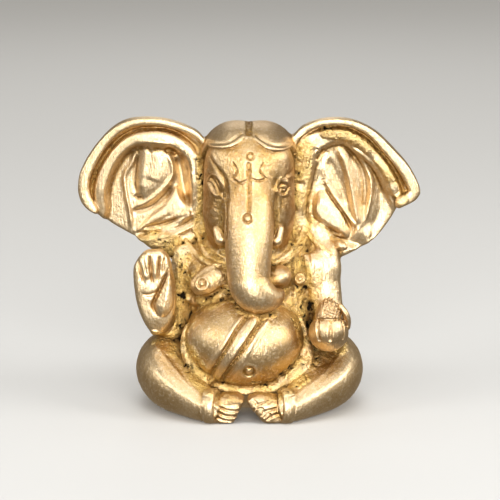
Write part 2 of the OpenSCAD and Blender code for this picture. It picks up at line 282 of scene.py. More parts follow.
def ear(name, s, outline, rim, strokes, patches, lo, hi):
    """Plate with a drawn relief. strokes: (points, height, half width, sharpness). patches: (outline, height, softness)."""
    tt = Part(name, lo, hi, 0.7)
    bb = tt.box
    out = curve(xz(outline, 1.2), 6, closed=True)
    d = d_poly(bb, out)
    ax = np.abs(bb.x[:, :, 0])
    sweep = 0.5 + 2.2 * smooth(ax, 7, 30) ** 1.5
    h = np.zeros(d.shape, F4)
    inner = np.maximum(-d, 0)
    for poly, amt, soft in patches:
        dp = d_poly(bb, curve(xz(poly, 1.0), 5, closed=True))
        h += amt * smooth(-dp, -soft * 0.5, soft)
    for pts, amt, w, q in strokes:
        dl, al = d_line(bb, curve(xz(pts, 1.0), 6))
        taper = smooth(al, -0.02, 0.14) * smooth(1 - al, -0.02, 0.14)
        h += amt * (G(dl, w) if q == 2 else G4(dl, w)) * (0.2 + 0.8 * taper)
    dr, ar = d_line(bb, curve(xz(rim, 1.0), 6))
    front = sweep - 0.55 - h
    back = sweep + 1.15 + 1.0 * smooth(inner, 0.2, 4.5)
    back = np.maximum(back, front + 0.9)
    gx, gz = np.gradient(front, H)
    slope = np.sqrt(1 + gx * gx + gz * gz)[:, None, :].astype(F4)
    y = bb.y
    f = smax((front[:, None, :].astype(F4) - y) / slope, (y - back[:, None, :].astype(F4)), 0.9)
    f = smax(f, d[:, None, :], 0.8)
    # the rolled rim is a round bar along the edge, stouter at its outer end
    rr = (0.56 + 0.32 * smooth(ar, 0.40, 0.88) )[:, None, :].astype(F4)
    yr = (sweep - 0.72)[:, None, :].astype(F4)
    bar = (((dr[:, None, :] / (rr * F4(1.12))) ** 2 * (dr[:, None, :] / (rr * F4(1.12))).clip(0.3, None) + np.abs((y - yr) / (rr * F4(1.02))) ** 3) ** F4(1 / 3) - 1) * rr
    bar = smax(bar.astype(F4), d[:, None, :] - F4(0.05), 0.35)
    f = smin(f, bar, 0.25)
    tt.add(f)
    return tt


ear("ear_right", -1,
    [(-6.61, 16.77), (-7.58, 18.39), (-8.71, 19.52), (-11.13, 20.65), (-13.87, 21.37), (-16.94, 21.53), (-19.68, 21.13), (-22.10, 19.84), (-24.35, 17.58), (-26.29, 14.84),
     (-27.58, 12.10), (-27.82, 9.68), (-27.34, 7.74), (-26.13, 6.53), (-24.68, 5.65), (-22.90, 4.19), (-19.35, 2.26), (-15.81, 0.65), (-11.94, 0.65), (-9.35, 1.61), (-7.10, 2.90), (-6.13, 7.26), (-6.13, 12.10)],
    [(-7.10, 17.58), (-8.23, 18.61), (-9.19, 19.26), (-11.29, 20.10), (-13.87, 20.76), (-16.77, 20.90), (-19.35, 20.48), (-21.71, 19.19), (-23.81, 17.00), (-25.55, 14.27), (-26.68, 11.77), (-26.87, 9.68), (-26.45, 8.06), (-25.48, 6.29)],
    [
        ([(-25.39, 7.10), (-25.52, 9.68), (-24.74, 12.58), (-23.16, 15.39), (-21.13, 17.81), (-18.71, 19.23), (-15.97, 19.77), (-13.23, 19.58), (-10.81, 18.61), (-8.71, 17.00)], -0.72, 0.34, 2),
        ([(-24.13, 5.65), (-24.35, 8.23), (-24.00, 10.65), (-22.90, 13.48), (-21.29, 15.90), (-19.19, 17.65), (-16.77, 18.42), (-14.19, 18.35), (-11.77, 17.48), (-9.76, 15.81), (-8.79, 13.71), (-8.47, 11.13), (-8.55, 7.26)], 0.66, 1.06, 4),
        ([(-18.15, 16.29), (-18.95, 14.19), (-20.24, 11.77), (-20.00, 8.71), (-19.44, 6.13), (-19.10, 3.23)], 0.38, 0.34, 2),
        ([(-18.23, 15.32), (-18.45, 13.23), (-18.61, 10.97), (-18.39, 8.87)], -0.42, 0.36, 2),
        ([(-16.77, 16.77), (-17.10, 14.19), (-17.48, 11.61), (-17.74, 9.52)], 0.34, 0.62, 2),
        ([(-15.16, 16.13), (-15.00, 13.71), (-15.81, 11.13)], 0.22, 1.4, 2),
        ([(-18.55, 8.71), (-18.06, 8.23), (-17.42, 8.55)], -0.45, 0.42, 2),
        ([(-13.39, 15.65), (-12.52, 13.87), (-12.65, 11.85), (-14.10, 9.84), (-16.29, 7.97), (-18.77, 6.61)], 0.42, 0.38, 2),
        ([(-13.71, 16.13), (-12.74, 16.13), (-11.77, 15.48)], -0.55, 0.5, 2),
        ([(-11.94, 15.16), (-11.29, 13.23), (-10.81, 10.65), (-10.24, 7.90)], -0.62, 0.62, 2),
        ([(-19.03, 5.97), (-16.13, 6.77), (-13.87, 8.55), (-12.58, 10.16)], -0.40, 0.42, 2),
        ([(-16.45, 16.61), (-14.84, 17.10), (-13.23, 16.45)], 0.45, 0.8, 2),
        ([(-18.55, 2.90), (-15.32, 3.55), (-12.10, 4.58), (-8.55, 6.29)], 0.34, 0.26, 2),
        ([(-17.90, 2.32), (-14.68, 2.90), (-11.61, 3.81), (-8.55, 5.48)], -0.22, 0.24, 2),
        ([(-17.58, 1.61), (-14.52, 2.10), (-11.45, 2.97), (-8.39, 4.58)], 0.30, 0.34, 2),
        ([(-17.10, 3.55), (-14.84, 4.68), (-12.58, 5.81)], -0.16, 0.3, 2),
        ([(-10.08, 14.03), (-10.00, 10.65), (-9.68, 7.42)], -0.28, 0.32, 2),
        ([(-9.52, 13.23), (-9.29, 10.32), (-9.10, 7.74)], 0.22, 0.45, 2),
    ],
    [
        ([(-23.55, 3.87), (-23.13, 6.45), (-23.13, 9.35), (-22.19, 12.58), (-20.81, 15.00), (-18.87, 16.53), (-16.61, 17.16), (-14.19, 17.16), (-11.94, 16.45), (-10.32, 14.84), (-9.84, 11.94), (-9.68, 7.10), (-12.58, 3.87), (-18.39, 1.61), (-21.29, 1.94)], -1.10, 0.95),
        ([(-17.90, 17.58), (-15.81, 18.23), (-13.39, 17.42), (-12.16, 14.84), (-12.19, 11.94), (-13.55, 9.68), (-15.97, 7.90), (-17.74, 7.90), (-18.48, 9.68), (-18.45, 13.55)], 0.80, 2.4),
        ([(-11.94, 10.32), (-10.97, 8.87), (-9.68, 6.94), (-10.00, 5.65), (-14.52, 4.19), (-18.06, 3.06), (-16.61, 5.16), (-13.71, 7.58)], 0.85, 0.7),
    ],
    (-29.4, -3.2, 24.6), (-3.5, 5.6, 49.6))

ear("ear_left", 1,
    [(6.45, 17.74), (7.42, 19.19), (8.87, 20.39), (11.61, 21.32), (14.68, 21.45), (17.42, 20.81), (20.16, 19.35), (22.90, 16.77), (25.32, 14.03), (26.85, 11.45), (27.58, 9.35), (27.18, 8.23), (25.48, 7.34), (24.03, 6.61),
     (22.90, 4.84), (21.29, 2.74), (19.35, 0.97), (17.10, 0.00), (14.84, -0.97), (12.26, -1.29), (9.35, -0.32), (6.77, 1.94), (6.29, 7.26), (6.29, 12.90)],
    [(6.85, 17.58), (7.82, 18.84), (9.19, 19.87), (11.61, 20.76), (14.68, 20.87), (17.26, 20.23), (19.68, 18.77), (22.16, 16.19), (24.45, 13.55), (25.90, 11.13), (26.52, 9.44), (25.73, 8.23), (24.35, 7.52)],
    [
        ([(8.71, 18.55), (10.32, 19.45), (12.26, 19.90), (14.68, 19.94), (16.77, 19.29), (18.87, 18.00), (21.13, 15.58), (23.16, 12.81), (24.42, 10.32), (24.90, 8.23)], -0.78, 0.42, 2),
        ([(12.90, 18.71), (15.32, 18.77), (17.58, 17.74), (19.77, 15.87), (21.71, 13.39), (23.16, 10.65), (24.10, 7.90)], 0.48, 0.95, 4),
        ([(15.65, 16.77), (17.90, 15.39), (20.00, 13.23), (21.45, 10.55), (22.97, 7.58), (23.55, 5.97)], 0.42, 0.42, 2),
        ([(15.97, 16.13), (17.58, 14.03), (18.31, 11.77), (18.55, 9.35), (18.23, 6.45)], -0.55, 0.62, 2),
        ([(16.29, 16.45), (18.06, 14.19), (19.35, 11.94), (19.61, 9.84), (19.19, 6.94), (18.45, 4.19)], 0.40, 0.36, 2),
        ([(18.71, 14.52), (20.32, 11.61), (21.06, 8.71), (20.90, 5.81), (19.52, 2.90)], -0.34, 0.80, 2),
        ([(14.19, 16.77), (15.26, 14.52), (16.03, 11.94), (16.52, 9.35), (17.10, 6.13), (17.84, 3.23)], 0.34, 0.85, 4),
        ([(14.19, 16.77), (15.26, 14.52), (16.03, 11.94), (16.52, 9.35), (17.10, 6.13), (17.84, 3.23)], 0.40, 0.45, 2),
        ([(16.77, 3.23), (18.06, 2.42), (19.68, 2.26)], 0.50, 1.3, 2),
        ([(12.02, 11.45), (13.13, 9.35), (14.58, 7.16), (16.03, 5.23), (17.42, 3.39)], 0.28, 0.24, 2),
        ([(12.42, 14.84), (13.55, 12.58), (14.68, 10.00), (15.65, 7.10)], -0.32, 0.75, 2),
        ([(10.65, 14.52), (11.29, 15.55), (12.10, 16.35)], -0.50, 0.4, 2),
        ([(12.03, 10.16), (13.61, 7.90), (15.19, 5.65), (16.45, 3.06)], -0.36, 0.30, 2),
        ([(11.13, 15.00), (10.55, 12.90), (9.84, 10.32), (9.26, 8.23), (9.13, 6.13), (9.84, 4.03)], -0.62, 0.45, 2),
        ([(8.06, 16.77), (8.87, 14.84), (8.81, 12.58), (8.32, 10.32), (8.00, 8.06), (7.74, 5.48)], 0.30, 1.3, 4),
        ([(8.23, 15.81), (8.81, 16.13), (9.35, 15.48), (9.19, 13.87), (8.48, 13.71)], 0.22, 0.4, 2),
        ([(9.94, 5.32), (11.39, 3.65), (13.32, 2.68), (15.16, 2.13)], 0.34, 0.30, 2),
        ([(10.65, 2.90), (13.23, 1.45), (15.97, 0.48)], -0.40, 0.42, 2),
        ([(23.87, 6.45), (22.52, 4.35), (20.81, 2.32), (18.39, 0.81)], 0.26, 0.26, 2),
    ],
    [
        ([(11.45, 16.13), (13.71, 17.42), (15.97, 16.87), (18.39, 15.06), (20.65, 12.58), (22.58, 9.35), (24.52, 6.77), (22.58, 2.90), (19.35, 0.32), (16.13, 0.65), (10.97, 3.39), (9.35, 6.29), (9.77, 10.00), (10.81, 13.23)], -0.90, 0.8),
        ([(10.73, 9.03), (9.84, 7.26), (10.10, 5.48), (11.61, 3.94), (15.42, 2.16), (15.26, 4.35), (13.45, 7.26), (11.87, 9.19)], 1.25, 1.25),
        ([(11.13, 13.55), (12.58, 15.16), (13.06, 13.55), (13.87, 10.97), (14.52, 8.71), (13.23, 10.00), (11.77, 11.61)], 0.22, 1.0),
    ],
    (3.5, -3.2, 22.6), (29.4, 5.6, 49.6))
# the small ball where the left ear's lobe meets the shoulder
tt = PARTS["ear_left"]
c = at((14.68, 0.73), -0.4)
tt.f = smin(tt.f, ell(tt.box, c, (1.15, 1.0, 0.75), ry=25), 0.2)

# ---------------------------------------------------------------- chest
t = Part("breast_right", (-12.0, -10.2, 18.0), (-1.5, -1.5, 28.0), 0.35)
b = t.box
t.add(ell(b, at((-7.58, -5.56), -5.9), (2.05, 1.7, 1.9)))
t.add(ell(b, at((-5.97, -4.68), -5.5), (2.6, 1.5, 2.3), ry=-14), 1.0)

t = Part("breast_left", (2.0, -10.2, 18.5), (8.4, -1.5, 27.5), 0.3)
b = t.box
f = ell(b, at((4.84, -4.27), -6.3), (1.85, 2.2, 1.85))
f = smin(f, ell(b, at((3.79, -4.52), -6.2), (1.6, 2.3, 1.7)), 0.7)
f = smax(f, (b.x * 0.75 - b.y * 0.62) - F4(10.75), 0.2)
t.add(f)

t = Part("armlet_left", (6.0, -9.0, 19.5), (11.0, -1.0, 26.0), 0.2)
b = t.box
t.add(ell(b, at((8.03, -4.68), -5.7), (0.95, 1.3, 1.2)))

# ---------------------------------------------------------------- right arm (viewer's left)
t = Part("upper_arm_right", (-17.0, -5.0, 10.5), (-5.0, 5.5, 31.0), 0.8)
b = t.box
t.add(seg(b, (-8.6, 2.8, 24.6), (-11.4, 2.0, 18.6), 2.7, 2.7))
t.add(seg(b, (-11.6, 1.6, 19.0), (-12.6, 0.4, 14.0), 2.9, 2.6), 0.8)
t.add(seg(b, at((-15.48, 1.61), 1.2), at((-11.94, 0.65), 1.4), 1.2, 1.8, sc=(1, 1.3, 0.8)), 1.2)

hand = [(-15.65, -13.87), (-16.29, -13.06), (-17.29, -11.29), (-18.19, -8.79), (-18.68, -6.13), (-18.84, -3.39), (-18.48, -2.10), (-17.74, -0.97), (-16.77, -0.16), (-15.48, 0.03), (-14.11, -0.06),
        (-13.06, -1.13), (-12.45, -3.39), (-12.02, -5.89), (-11.90, -8.39), (-12.19, -10.65), (-12.98, -12.10), (-14.19, -13.39)]
t = Part("raised_hand_right", (-19.8, -8.0, 10.5), (-10.2, 1.5, 29.5), 0.4)
b = t.box
HY = -5.0
d = d_poly(b, curve(xz(hand, HY), 5, closed=True))
h = np.zeros(d.shape, F4)
zz = b.z[0]
for pts, amt, w in (
        ([(-18.16, -1.29), (-17.77, -3.39), (-17.06, -5.32)], -0.42, 0.18), ([(-16.26, -0.65), (-16.03, -3.06), (-15.77, -5.32)], -0.46, 0.19),
        ([(-14.58, -0.65), (-14.71, -2.90), (-14.90, -5.00)], -0.38, 0.17), ([(-13.71, -0.97), (-13.94, -2.42), (-14.10, -3.87)], -0.30, 0.15), ([(-17.23, -0.97), (-16.97, -2.58), (-16.61, -4.19)], -0.22, 0.13),
        ([(-17.10, -1.13), (-16.84, -2.90), (-16.45, -4.84)], 0.22, 0.55), ([(-15.35, -0.97), (-15.35, -2.90), (-15.32, -4.68)], 0.18, 0.5),
        ([(-17.35, -7.19), (-16.13, -7.13), (-14.77, -6.55)], -0.20, 0.16), ([(-17.10, -7.61), (-15.97, -7.52), (-15.16, -7.16)], -0.12, 0.14),
        ([(-13.06, -3.15), (-13.71, -4.52), (-14.35, -5.97), (-15.32, -7.90), (-15.65, -9.03), (-15.10, -10.40)], -0.52, 0.24),
        ([(-14.06, -3.23), (-14.42, -4.68), (-14.84, -6.13)], 0.12, 0.2),
        ([(-17.10, -5.48), (-16.29, -6.29), (-15.32, -6.13)], 0.18, 1.4)):
    dl, al = d_line(b, curve(xz(pts, HY - 0.8), 5))
    tp = smooth(al, -0.02, 0.22) * smooth(1 - al, -0.02, 0.22)
    h += F4(amt) * G(dl, w) * (0.2 + 0.8 * tp)
cx = b.x[:, :, 0] + 15.2
front = F4(HY - 0.9) - h + 0.012 * cx * cx * np.abs(cx) ** 0.3 + 0.07 * np.maximum(zz - 24.0, 0) ** 1.3 + 0.03 * np.maximum(17.0 - zz, 0) ** 2
f = smax(front[:, None, :].astype(F4) - b.y, b.y - F4(HY + 1.5), 0.8)
f = smax(f * F4(0.92), d[:, None, :], 0.9)
f = smin(f, seg(b, (-14.6, -3.4, 15.4), (-12.9, -1.6, 12.6), 1.7, 2.2), 1.4)
t.add(f)

t = Part("thumb_right", (-17.5, -8.6, 12.5), (-10.0, -3.0, 27.0), 0.06)
b = t.box
th = curve(xz([(-12.97, -2.98), (-12.58, -4.52), (-12.32, -6.45), (-12.26, -8.39), (-12.84, -10.08), (-13.95, -10.89), (-14.94, -10.42), (-15.39, -9.03), (-15.00, -7.74), (-14.10, -5.89), (-13.45, -4.27)], HY - 0.8), 5, closed=True)
d = d_poly(b, th)
dome = 0.85 * np.sqrt(np.clip(-d / 1.45, 0, 1))
front = F4(HY - 0.80) - dome + 0.03 * np.maximum(17.0 - b.z[0], 0) ** 2
f = smax(front[:, None, :].astype(F4) - b.y, b.y - F4(HY + 0.2), 0.2)
f = smax(f * F4(0.8), d[:, None, :], 0.3)
t.add(f)

# ---------------------------------------------------------------- left arm (viewer's right)
t = Part("upper_arm_left", (6.5, -5.4, 12.5), (17.5, 5.5, 31.5), 0.7)
b = t.box
t.add(seg(b, (11.4, 1.5, 28.2), (12.4, -0.2, 22.4), 1.9, 2.3))
t.add(seg(b, (12.4, 0.1, 24.2), (12.75, -1.4, 14.5), 2.1, 2.6), 1.2)
t = Part("forearm_left", (8.5, -8.0, 9.5), (17.5, 3.0, 19.5), 0.7)
b = t.box
t.add(seg(b, (12.8, -0.8, 15.0), (12.9, -5.8, 13.6), 2.5, 2.4))

t = Part("cupped_hand_left", (8.5, -13.6, 8.5), (17.8, -3.5, 21.0), 0.15)
b = t.box
c0 = at((12.68, -13.32), -8.6)
f = ell(b, c0, (3.2, 3.0, 3.05))
c1 = at((12.68, -13.00), -9.5)
f = smin(f, ell(b, c1, (2.78, 2.6, 2.95)), 0.06)
f = smax(f, (b.z - (c1[2] + 2.0)) + (b.y - c1[1]) * 0.08, 0.3)
# thumb along the outer side
g = tube(b, [list(at((15.71, -12.42), -8.6)) + [0.50], list(at((15.68, -11.29), -8.9)) + [0.60], list(at((15.32, -10.16), -9.2)) + [0.56], list(at((14.61, -8.97), -9.2)) + [0.38]], 5)
f = smin(f, g, 0.12)
t.add(f)

t = Part("sweet_modak", (9.0, -13.0, 13.5), (17.0, -4.5, 22.5), 0.05)
b = t.box
m0 = at((12.61, -10.81), -9.3)
f = ell(b, m0, (2.10, 2.1, 3.1))
f = smin(f, seg(b, m0 + (0, 0, 2.4), m0 + (0, 0, 3.3), 0.6, 0.12), 0.5)
# one side is crossed with cuts, the other is left in flat facets
ux, uz = b.x - F4(m0[0]), b.z - F4(m0[2])
cross = np.sin((ux * 0.9 + uz * 0.55) * F4(2 * math.pi / 0.68)) * np.sin((ux * 0.35 - uz) * F4(2 * math.pi / 0.74))
side_mask = smooth(ux - (-0.55 + uz * -0.28), -0.15, 0.2) * smooth(uz, 0.1, 0.6)
f = f + F4(0.23) * (0.30 - cross) * side_mask
f = smax(f, (-0.80 * ux - 0.45 * (b.y - F4(m0[1])) + 0.38 * uz) - F4(2.14), 0.25)
t.add(f)

# ---------------------------------------------------------------- legs
for s, side in ((-1, "right"), (1, "left")):
    t = Part("leg_" + side, (-20.5 if s < 0 else 4.5, -14.6, -0.9), (-4.5 if s < 0 else 20.5, 9.5, 14.0), 0.5)
    b = t.box
    kx = 18.35 - 5.3 if s > 0 else 18.1 - 5.2
    t.add(tube(b, [[s * 9.0, 4.6, 5.4, 4.6], [s * 11.8, 3.6, 5.6, 5.2], [s * kx, 0.0, 5.9, 5.4], [s * kx, -3.2, 5.9, 5.3],
                   [s * 12.2, -6.2, 5.3, 4.7], [s * 10.6, -8.6, 4.4, 3.9], [s * 8.9, -10.6, 3.5, 3.1], [s * 7.4, -11.9, 2.8, 2.6], [s * 6.2, -12.6, 2.5, 2.4]], 4, sc=(1, 1, 0.92)))
    # the shin has a flat face turned to the lap, cut from the round of the leg
    def surf(uv, push=0.0, tt=t):
        ys = np.arange(-14.5, 4.0, 0.1)
        for yy in ys:
            q3 = at(uv, yy)
            ix = [int(round((q3[a] - AX[a][tt.box.i0[a]]) / H)) for a in range(3)]
            if all(0 <= ix[a] < tt.box.shape[a] for a in range(3)) and tt.f[ix[0], ix[1], ix[2]] < 0:
                return q3 + np.array([0, push, -push])
        return at(uv, -9.0)
    if s < 0:
        f1, f2, f3 = surf((-15.32, -15.48)), surf((-7.90, -23.87)), surf((-9.84, -18.06), 0.75)
    else:
        f1, f2, f3 = surf((15.65, -15.32)), surf((6.94, -23.71)), surf((9.35, -18.39), 0.75)
    nn = np.cross(f2 - f1, f3 - f1)
    nn = nn / np.linalg.norm(nn)
    if nn[2] < 0:
        nn = -nn
    pl = (b.x - F4(f1[0])) * F4(nn[0]) + (b.y - F4(f1[1])) * F4(nn[1]) + (b.z - F4(f1[2])) * F4(nn[2])
    t.f = smax(t.f, pl, 0.95)
    t = Part("anklet_" + side, (-10.5 if s < 0 else 3.5, -15.6, -0.9), (-3.5 if s < 0 else 10.5, -7.5, 8.0), 0.06)
    b = t.box
    ca = np.array([-5.95 if s < 0 else 5.75, -12.4, 2.35])
    n = np.array([s * 0.96, 0.27, -0.06])
    n = n / np.linalg.norm(n)
    al = (b.x - F4(ca[0])) * F4(n[0]) + (b.y - F4(ca[1])) * F4(n[1]) + (b.z - F4(ca[2])) * F4(n[2])
    rad = np.sqrt(np.maximum((b.x - F4(ca[0])) ** 2 + (b.y - F4(ca[1])) ** 2 * F4(1.10) + ((b.z - F4(ca[2])) * F4(0.95)) ** 2 - al * al, 0))
    crown = 2.72 + 0.22 * np.cos(np.clip(al / 0.95, -1.5, 1.5) * 1.4)
    f = smax(rad - crown, np.abs(al) - F4(0.95), 0.25)
    t.add(f)

# feet: a rounded wedge each, its inner end slanting back to the ground
FOOT = {"right": [(-5.73, -27.98), (-5.48, -25.32), (-4.92, -23.79), (-3.06, -23.44), (-1.69, -23.58), (-0.97, -24.56), (-1.77, -25.97), (-2.90, -27.90)],
        "left": [(5.32, -27.82), (5.16, -25.65), (4.11, -23.79), (1.13, -23.48), (-0.16, -23.94), (-0.39, -24.89), (0.97, -26.37), (2.58, -28.00)]}
for s, side in ((-1, "right"), (1, "left")):
    t = Part("foot_" + side, (-7.5 if s < 0 else -1.6, -15.6, -0.9), (1.6 if s < 0 else 7.5, -8.5, 7.0), 0.2)
    b = t.box
    FY = -13.4
    d = d_poly(b, curve(xz(FOOT[side], FY), 4, closed=True))
    front = F4(-14.35) + 0.10 * np.maximum(b.z[0] - 1.6, 0) ** 1.6 + 0.02 * (b.x[:, :, 0] - s * 2.9) ** 2
    f = smax(front[:, None, :].astype(F4) - b.y, b.y + F4(10.5), 0.9)
    f = smax(f, d[:, None, :], 0.9)
    t.add(f)

# ---------------------------------------------------------------- everything joined
ORDER = ["torso", "belly", "upper_arm_right", "upper_arm_left", "forearm_left", "leg_right", "leg_left", "head", "trunk",
         "hair_dome_right", "hair_dome_left", "ear_right", "ear_left", "breast_right", "breast_left", "armlet_left",
         "tusk_right", "tusk_left", "raised_hand_right", "thumb_right", "cupped_hand_left", "sweet_modak",
         "anklet_right", "anklet_left", "foot_right", "foot_left"]
FULL = np.full(NXYZ, BIG, F4)
MIN = np.full(NXYZ, BIG, F4)


def join(nm):
    q = PARTS[nm]
    q.f = smax(np.broadcast_to(q.f, q.box.shape).astype(F4), -q.box.z, 0.5)
    FULL[q.box.sl] = smin(FULL[q.box.sl], q.f, q.k)


for nm in ORDER:
    join(nm)


def sample(A, P):
    """Trilinear value of a grid at points, in mm."""
    g = (P - LO) / H
    i = np.clip(np.floor(g).astype(np.int64), 0, np.array(NXYZ) - 2)
    w = (g - i).astype(F4)
    out = 0
    for dx in (0, 1):
        wx = w[:, 0] if dx else 1 - w[:, 0]
        for dy in (0, 1):
            wy = w[:, 1] if dy else 1 - w[:, 1]
            for dz in (0, 1):
                wz = w[:, 2] if dz else 1 - w[:, 2]
                out = out + wx * wy * wz * A[i[:, 0] + dx, i[:, 1] + dy, i[:, 2] + dz]
    return out


def depth_at(uv, y0=-15.2, y1=6.0):
    """Depth at which the line of sight through a drawn point first meets the metal."""
    ys = np.arange(y0, y1, 0.08)
    v = sample(FULL, np.array([at(uv, y) for y in ys]))
    k = int(np.argmax(v < 0))
    if v[k] >= 0:
        return float(ys[int(np.argmin(v))])
    return float(ys[k] - (0.08 * v[k] / (v[k] - v[k - 1]) if k else 0))


def hit(uv):
    return at(uv, depth_at(uv))


def hits(uvs, n=5, even=3):
    """A drawn line laid on the metal; even smooths its depth."""
    c = curve([list(q) for q in uvs], n)
    y = np.array([depth_at(q) for q in c])
    for _ in range(even):
        pad = np.concatenate([y[:1], y, y[-1:]])
        y = 0.25 * pad[:-2] + 0.5 * pad[1:-1] + 0.25 * pad[2:]
    return np.array([at(q, yy) for q, yy in zip(c, y)])


def near(pts, w):
    pts = np.array(pts)
    return Box(pts.min(0) - w, pts.max(0) + w)


def d_line3(b, pts):
    best = None
    pts = np.array(pts)
    for i in range(len(pts) - 1):
        g = seg(b, pts[i], pts[i + 1], 0, 0)
        best = g if best is None else np.minimum(best, g)
    return best


def cut(uvs, depth, w, lip=0.0, n=5, q=4, even=3):
    """Chase a line: depth is how far it goes in (a negative one raises it), lip how far its sides are pushed up."""
    pts = hits(uvs, n, even)
    b = near(pts, (2.2 if q == 4 else 2.6) * w + (1.5 * w if lip else 0) + 0.3)
    d = d_line3(b, pts)
    g = depth * (G4(d, w) if q == 4 else G(d, w))
    if lip:
        g = g - lip * G(d - 1.8 * w, 0.7 * w)
    FULL[b.sl] += g.astype(F4)


def ring(uv, r_in, r_out, depth, lip):
    """A ring punch: a round bead left inside a struck circle."""
    c = hit(uv)
    b = near([c], r_out + 1.2)
    d = np.sqrt((b.x - c[0]) ** 2 + (b.z - c[2]) ** 2 + ((b.y - c[1]) * 0.5) ** 2)
    m = 0.5 * (r_in + r_out)
    g = depth * G(d - m, 0.5 * (r_out - r_in)) - lip * G(d - r_out - 0.18, 0.22) - lip * 0.8 * G(d, r_in * 0.8)
    FULL[b.sl] += g.astype(F4)


def laid(name, lines, k, lo, hi, sink=0.15, lift=None):
    """Cords of metal laid on the surface; `lift` gives how far forward each may bridge a hollow."""
    tt = Part(name, lo, hi, k)
    for uvs, r in lines:
        pts = hits(uvs, 5, 4)
        n = len(pts)
        if lift:
            want = np.interp(np.linspace(0, 1, n), np.linspace(0, 1, len(lift)), lift)
            line = curve(uvs, 5)
            line = line[np.clip(np.round(np.linspace(0, len(line) - 1, n)).astype(int), 0, len(line) - 1)]
            for i in range(n):
                pts[i] = at(line[i], float(np.clip(want[i], pts[i][1] - 2.4, pts[i][1] + 0.4)))
        rr = np.interp(np.linspace(0, 1, n), np.linspace(0, 1, len(r)), r) if isinstance(r, (list, tuple)) else np.full(n, r)
        for i in range(n - 1):
            a, c = pts[i] + (0, sink, 0), pts[i + 1] + (0, sink, 0)
            tt.add(seg(tt.box, a, c, rr[i], rr[i + 1]), 0.02)
    return tt


laid("necklace", [
    ([(-10.48, 1.61), (-9.35, 0.16), (-8.06, -1.29), (-6.45, -2.34), (-4.19, -2.58)], [0.35, 0.46, 0.46, 0.44, 0.4]),
    ([(-8.87, 3.23), (-8.15, 1.77), (-7.42, 0.00), (-6.29, -1.37), (-4.52, -1.94)], [0.35, 0.44, 0.42, 0.42, 0.35]),
    ([(8.71, 3.55), (8.06, 2.10), (7.10, 0.48), (5.81, -0.97), (4.19, -1.94)], [0.4, 0.5, 0.52, 0.48, 0.4]),
    ([(9.03, 2.26), (8.06, 0.32), (6.61, -1.29), (4.84, -2.42)], [0.3, 0.42, 0.42, 0.35]),
    ([(8.55, 3.71), (9.68, 2.26), (11.13, 0.81), (12.90, -0.65)], [0.35, 0.42, 0.42, 0.3]),
], 0.3, (-12.5, -10.0, 21.0), (13.5, 2.0, 33.5), 0.1)
laid("lap_hem", [
    ([(-10.23, -12.42), (-10.65, -14.19), (-10.56, -16.13), (-9.68, -18.06), (-8.06, -20.00), (-6.13, -21.53), (-3.55, -22.50),
      (-0.48, -22.84), (2.58, -22.65), (5.48, -21.68), (7.66, -19.92), (9.19, -17.90), (9.42, -15.48), (8.87, -13.23), (8.06, -10.97)],
     [0.3, 0.5, 0.70, 0.82, 0.86, 0.95, 1.0, 1.0, 1.0, 1.0, 1.0, 0.9, 0.66, 0.5, 0.35])], 0.45, (-14.0, -15.1, 0.5), (13.5, 1.0, 24.0), 0.35,
     [-5.5, -6.2, -7.0, -8.0, -9.2, -10.2, -10.9, -11.1, -10.9, -10.2, -9.2, -8.0, -7.0, -6.0, -5.0])
# metal run in between the hem and the belly
tt = PARTS["lap_hem"]
run = [at(q, y) for q, y in (((5.32, -21.05), -9.6), ((6.77, -19.84), -9.0), ((7.90, -18.39), -8.1), ((8.61, -16.77), -7.2), ((8.61, -15.00), -6.2))]
for i in range(len(run) - 1):
    tt.add(seg(tt.box, run[i] + (0, 0.5, 0), run[i + 1] + (0, 0.5, 0), 0.95, 0.95), 0.5)
for nm in ("necklace", "lap_hem"):
    join(nm)
    ORDER.append(nm)
# ridge under the right breast
for uvs, amt, w in (([(-10.16, -7.74), (-8.55, -8.39), (-6.61, -8.31), (-5.00, -7.58), (-3.55, -6.45)], -0.85, 0.50),
                    ([(-9.68, -6.77), (-8.23, -7.34), (-6.45, -7.18), (-4.68, -6.29)], 0.34, 0.30),
                    ([(-9.19, -5.32), (-8.23, -4.19), (-6.45, -3.23), (-4.35, -2.82)], 0.25, 0.4)):
    cut(uvs, amt, w, q=2)
cut([(8.94, -0.97), (9.29, -2.90), (9.16, -5.32)], -0.34, 0.30, q=2)
cut([(9.90, -0.65), (10.10, -2.58), (10.00, -5.16)], -0.28, 0.26, q=2)
cut([(7.16, -1.94), (6.94, -4.03), (7.19, -6.45)], 0.35, 0.30, q=2)

# trident on the forehead, with a ring mark over and under it
cut([(-0.19, 13.87), (-0.15, 10.00), (-0.18, 6.13)], 0.28, 0.34, 0.05)
cut([(-2.79, 14.03), (-2.32, 13.23), (-2.19, 12.42), (-2.81, 11.45)], 0.28, 0.17, 0.04)
cut([(-2.74, 11.39), (-1.65, 10.74), (-0.65, 11.13)], 0.26, 0.17, 0.04)
cut([(2.32, 14.03), (1.77, 13.23), (1.77, 12.42), (2.47, 11.58)], 0.28, 0.17, 0.04)
cut([(2.58, 11.45), (1.45, 11.13), (0.35, 11.39)], 0.26, 0.17, 0.04)
ring((0.05, 15.10), 0.42, 0.66, 0.26, 0.06)
ring((-0.42, 5.06), 0.48, 0.78, 0.28, 0.07)
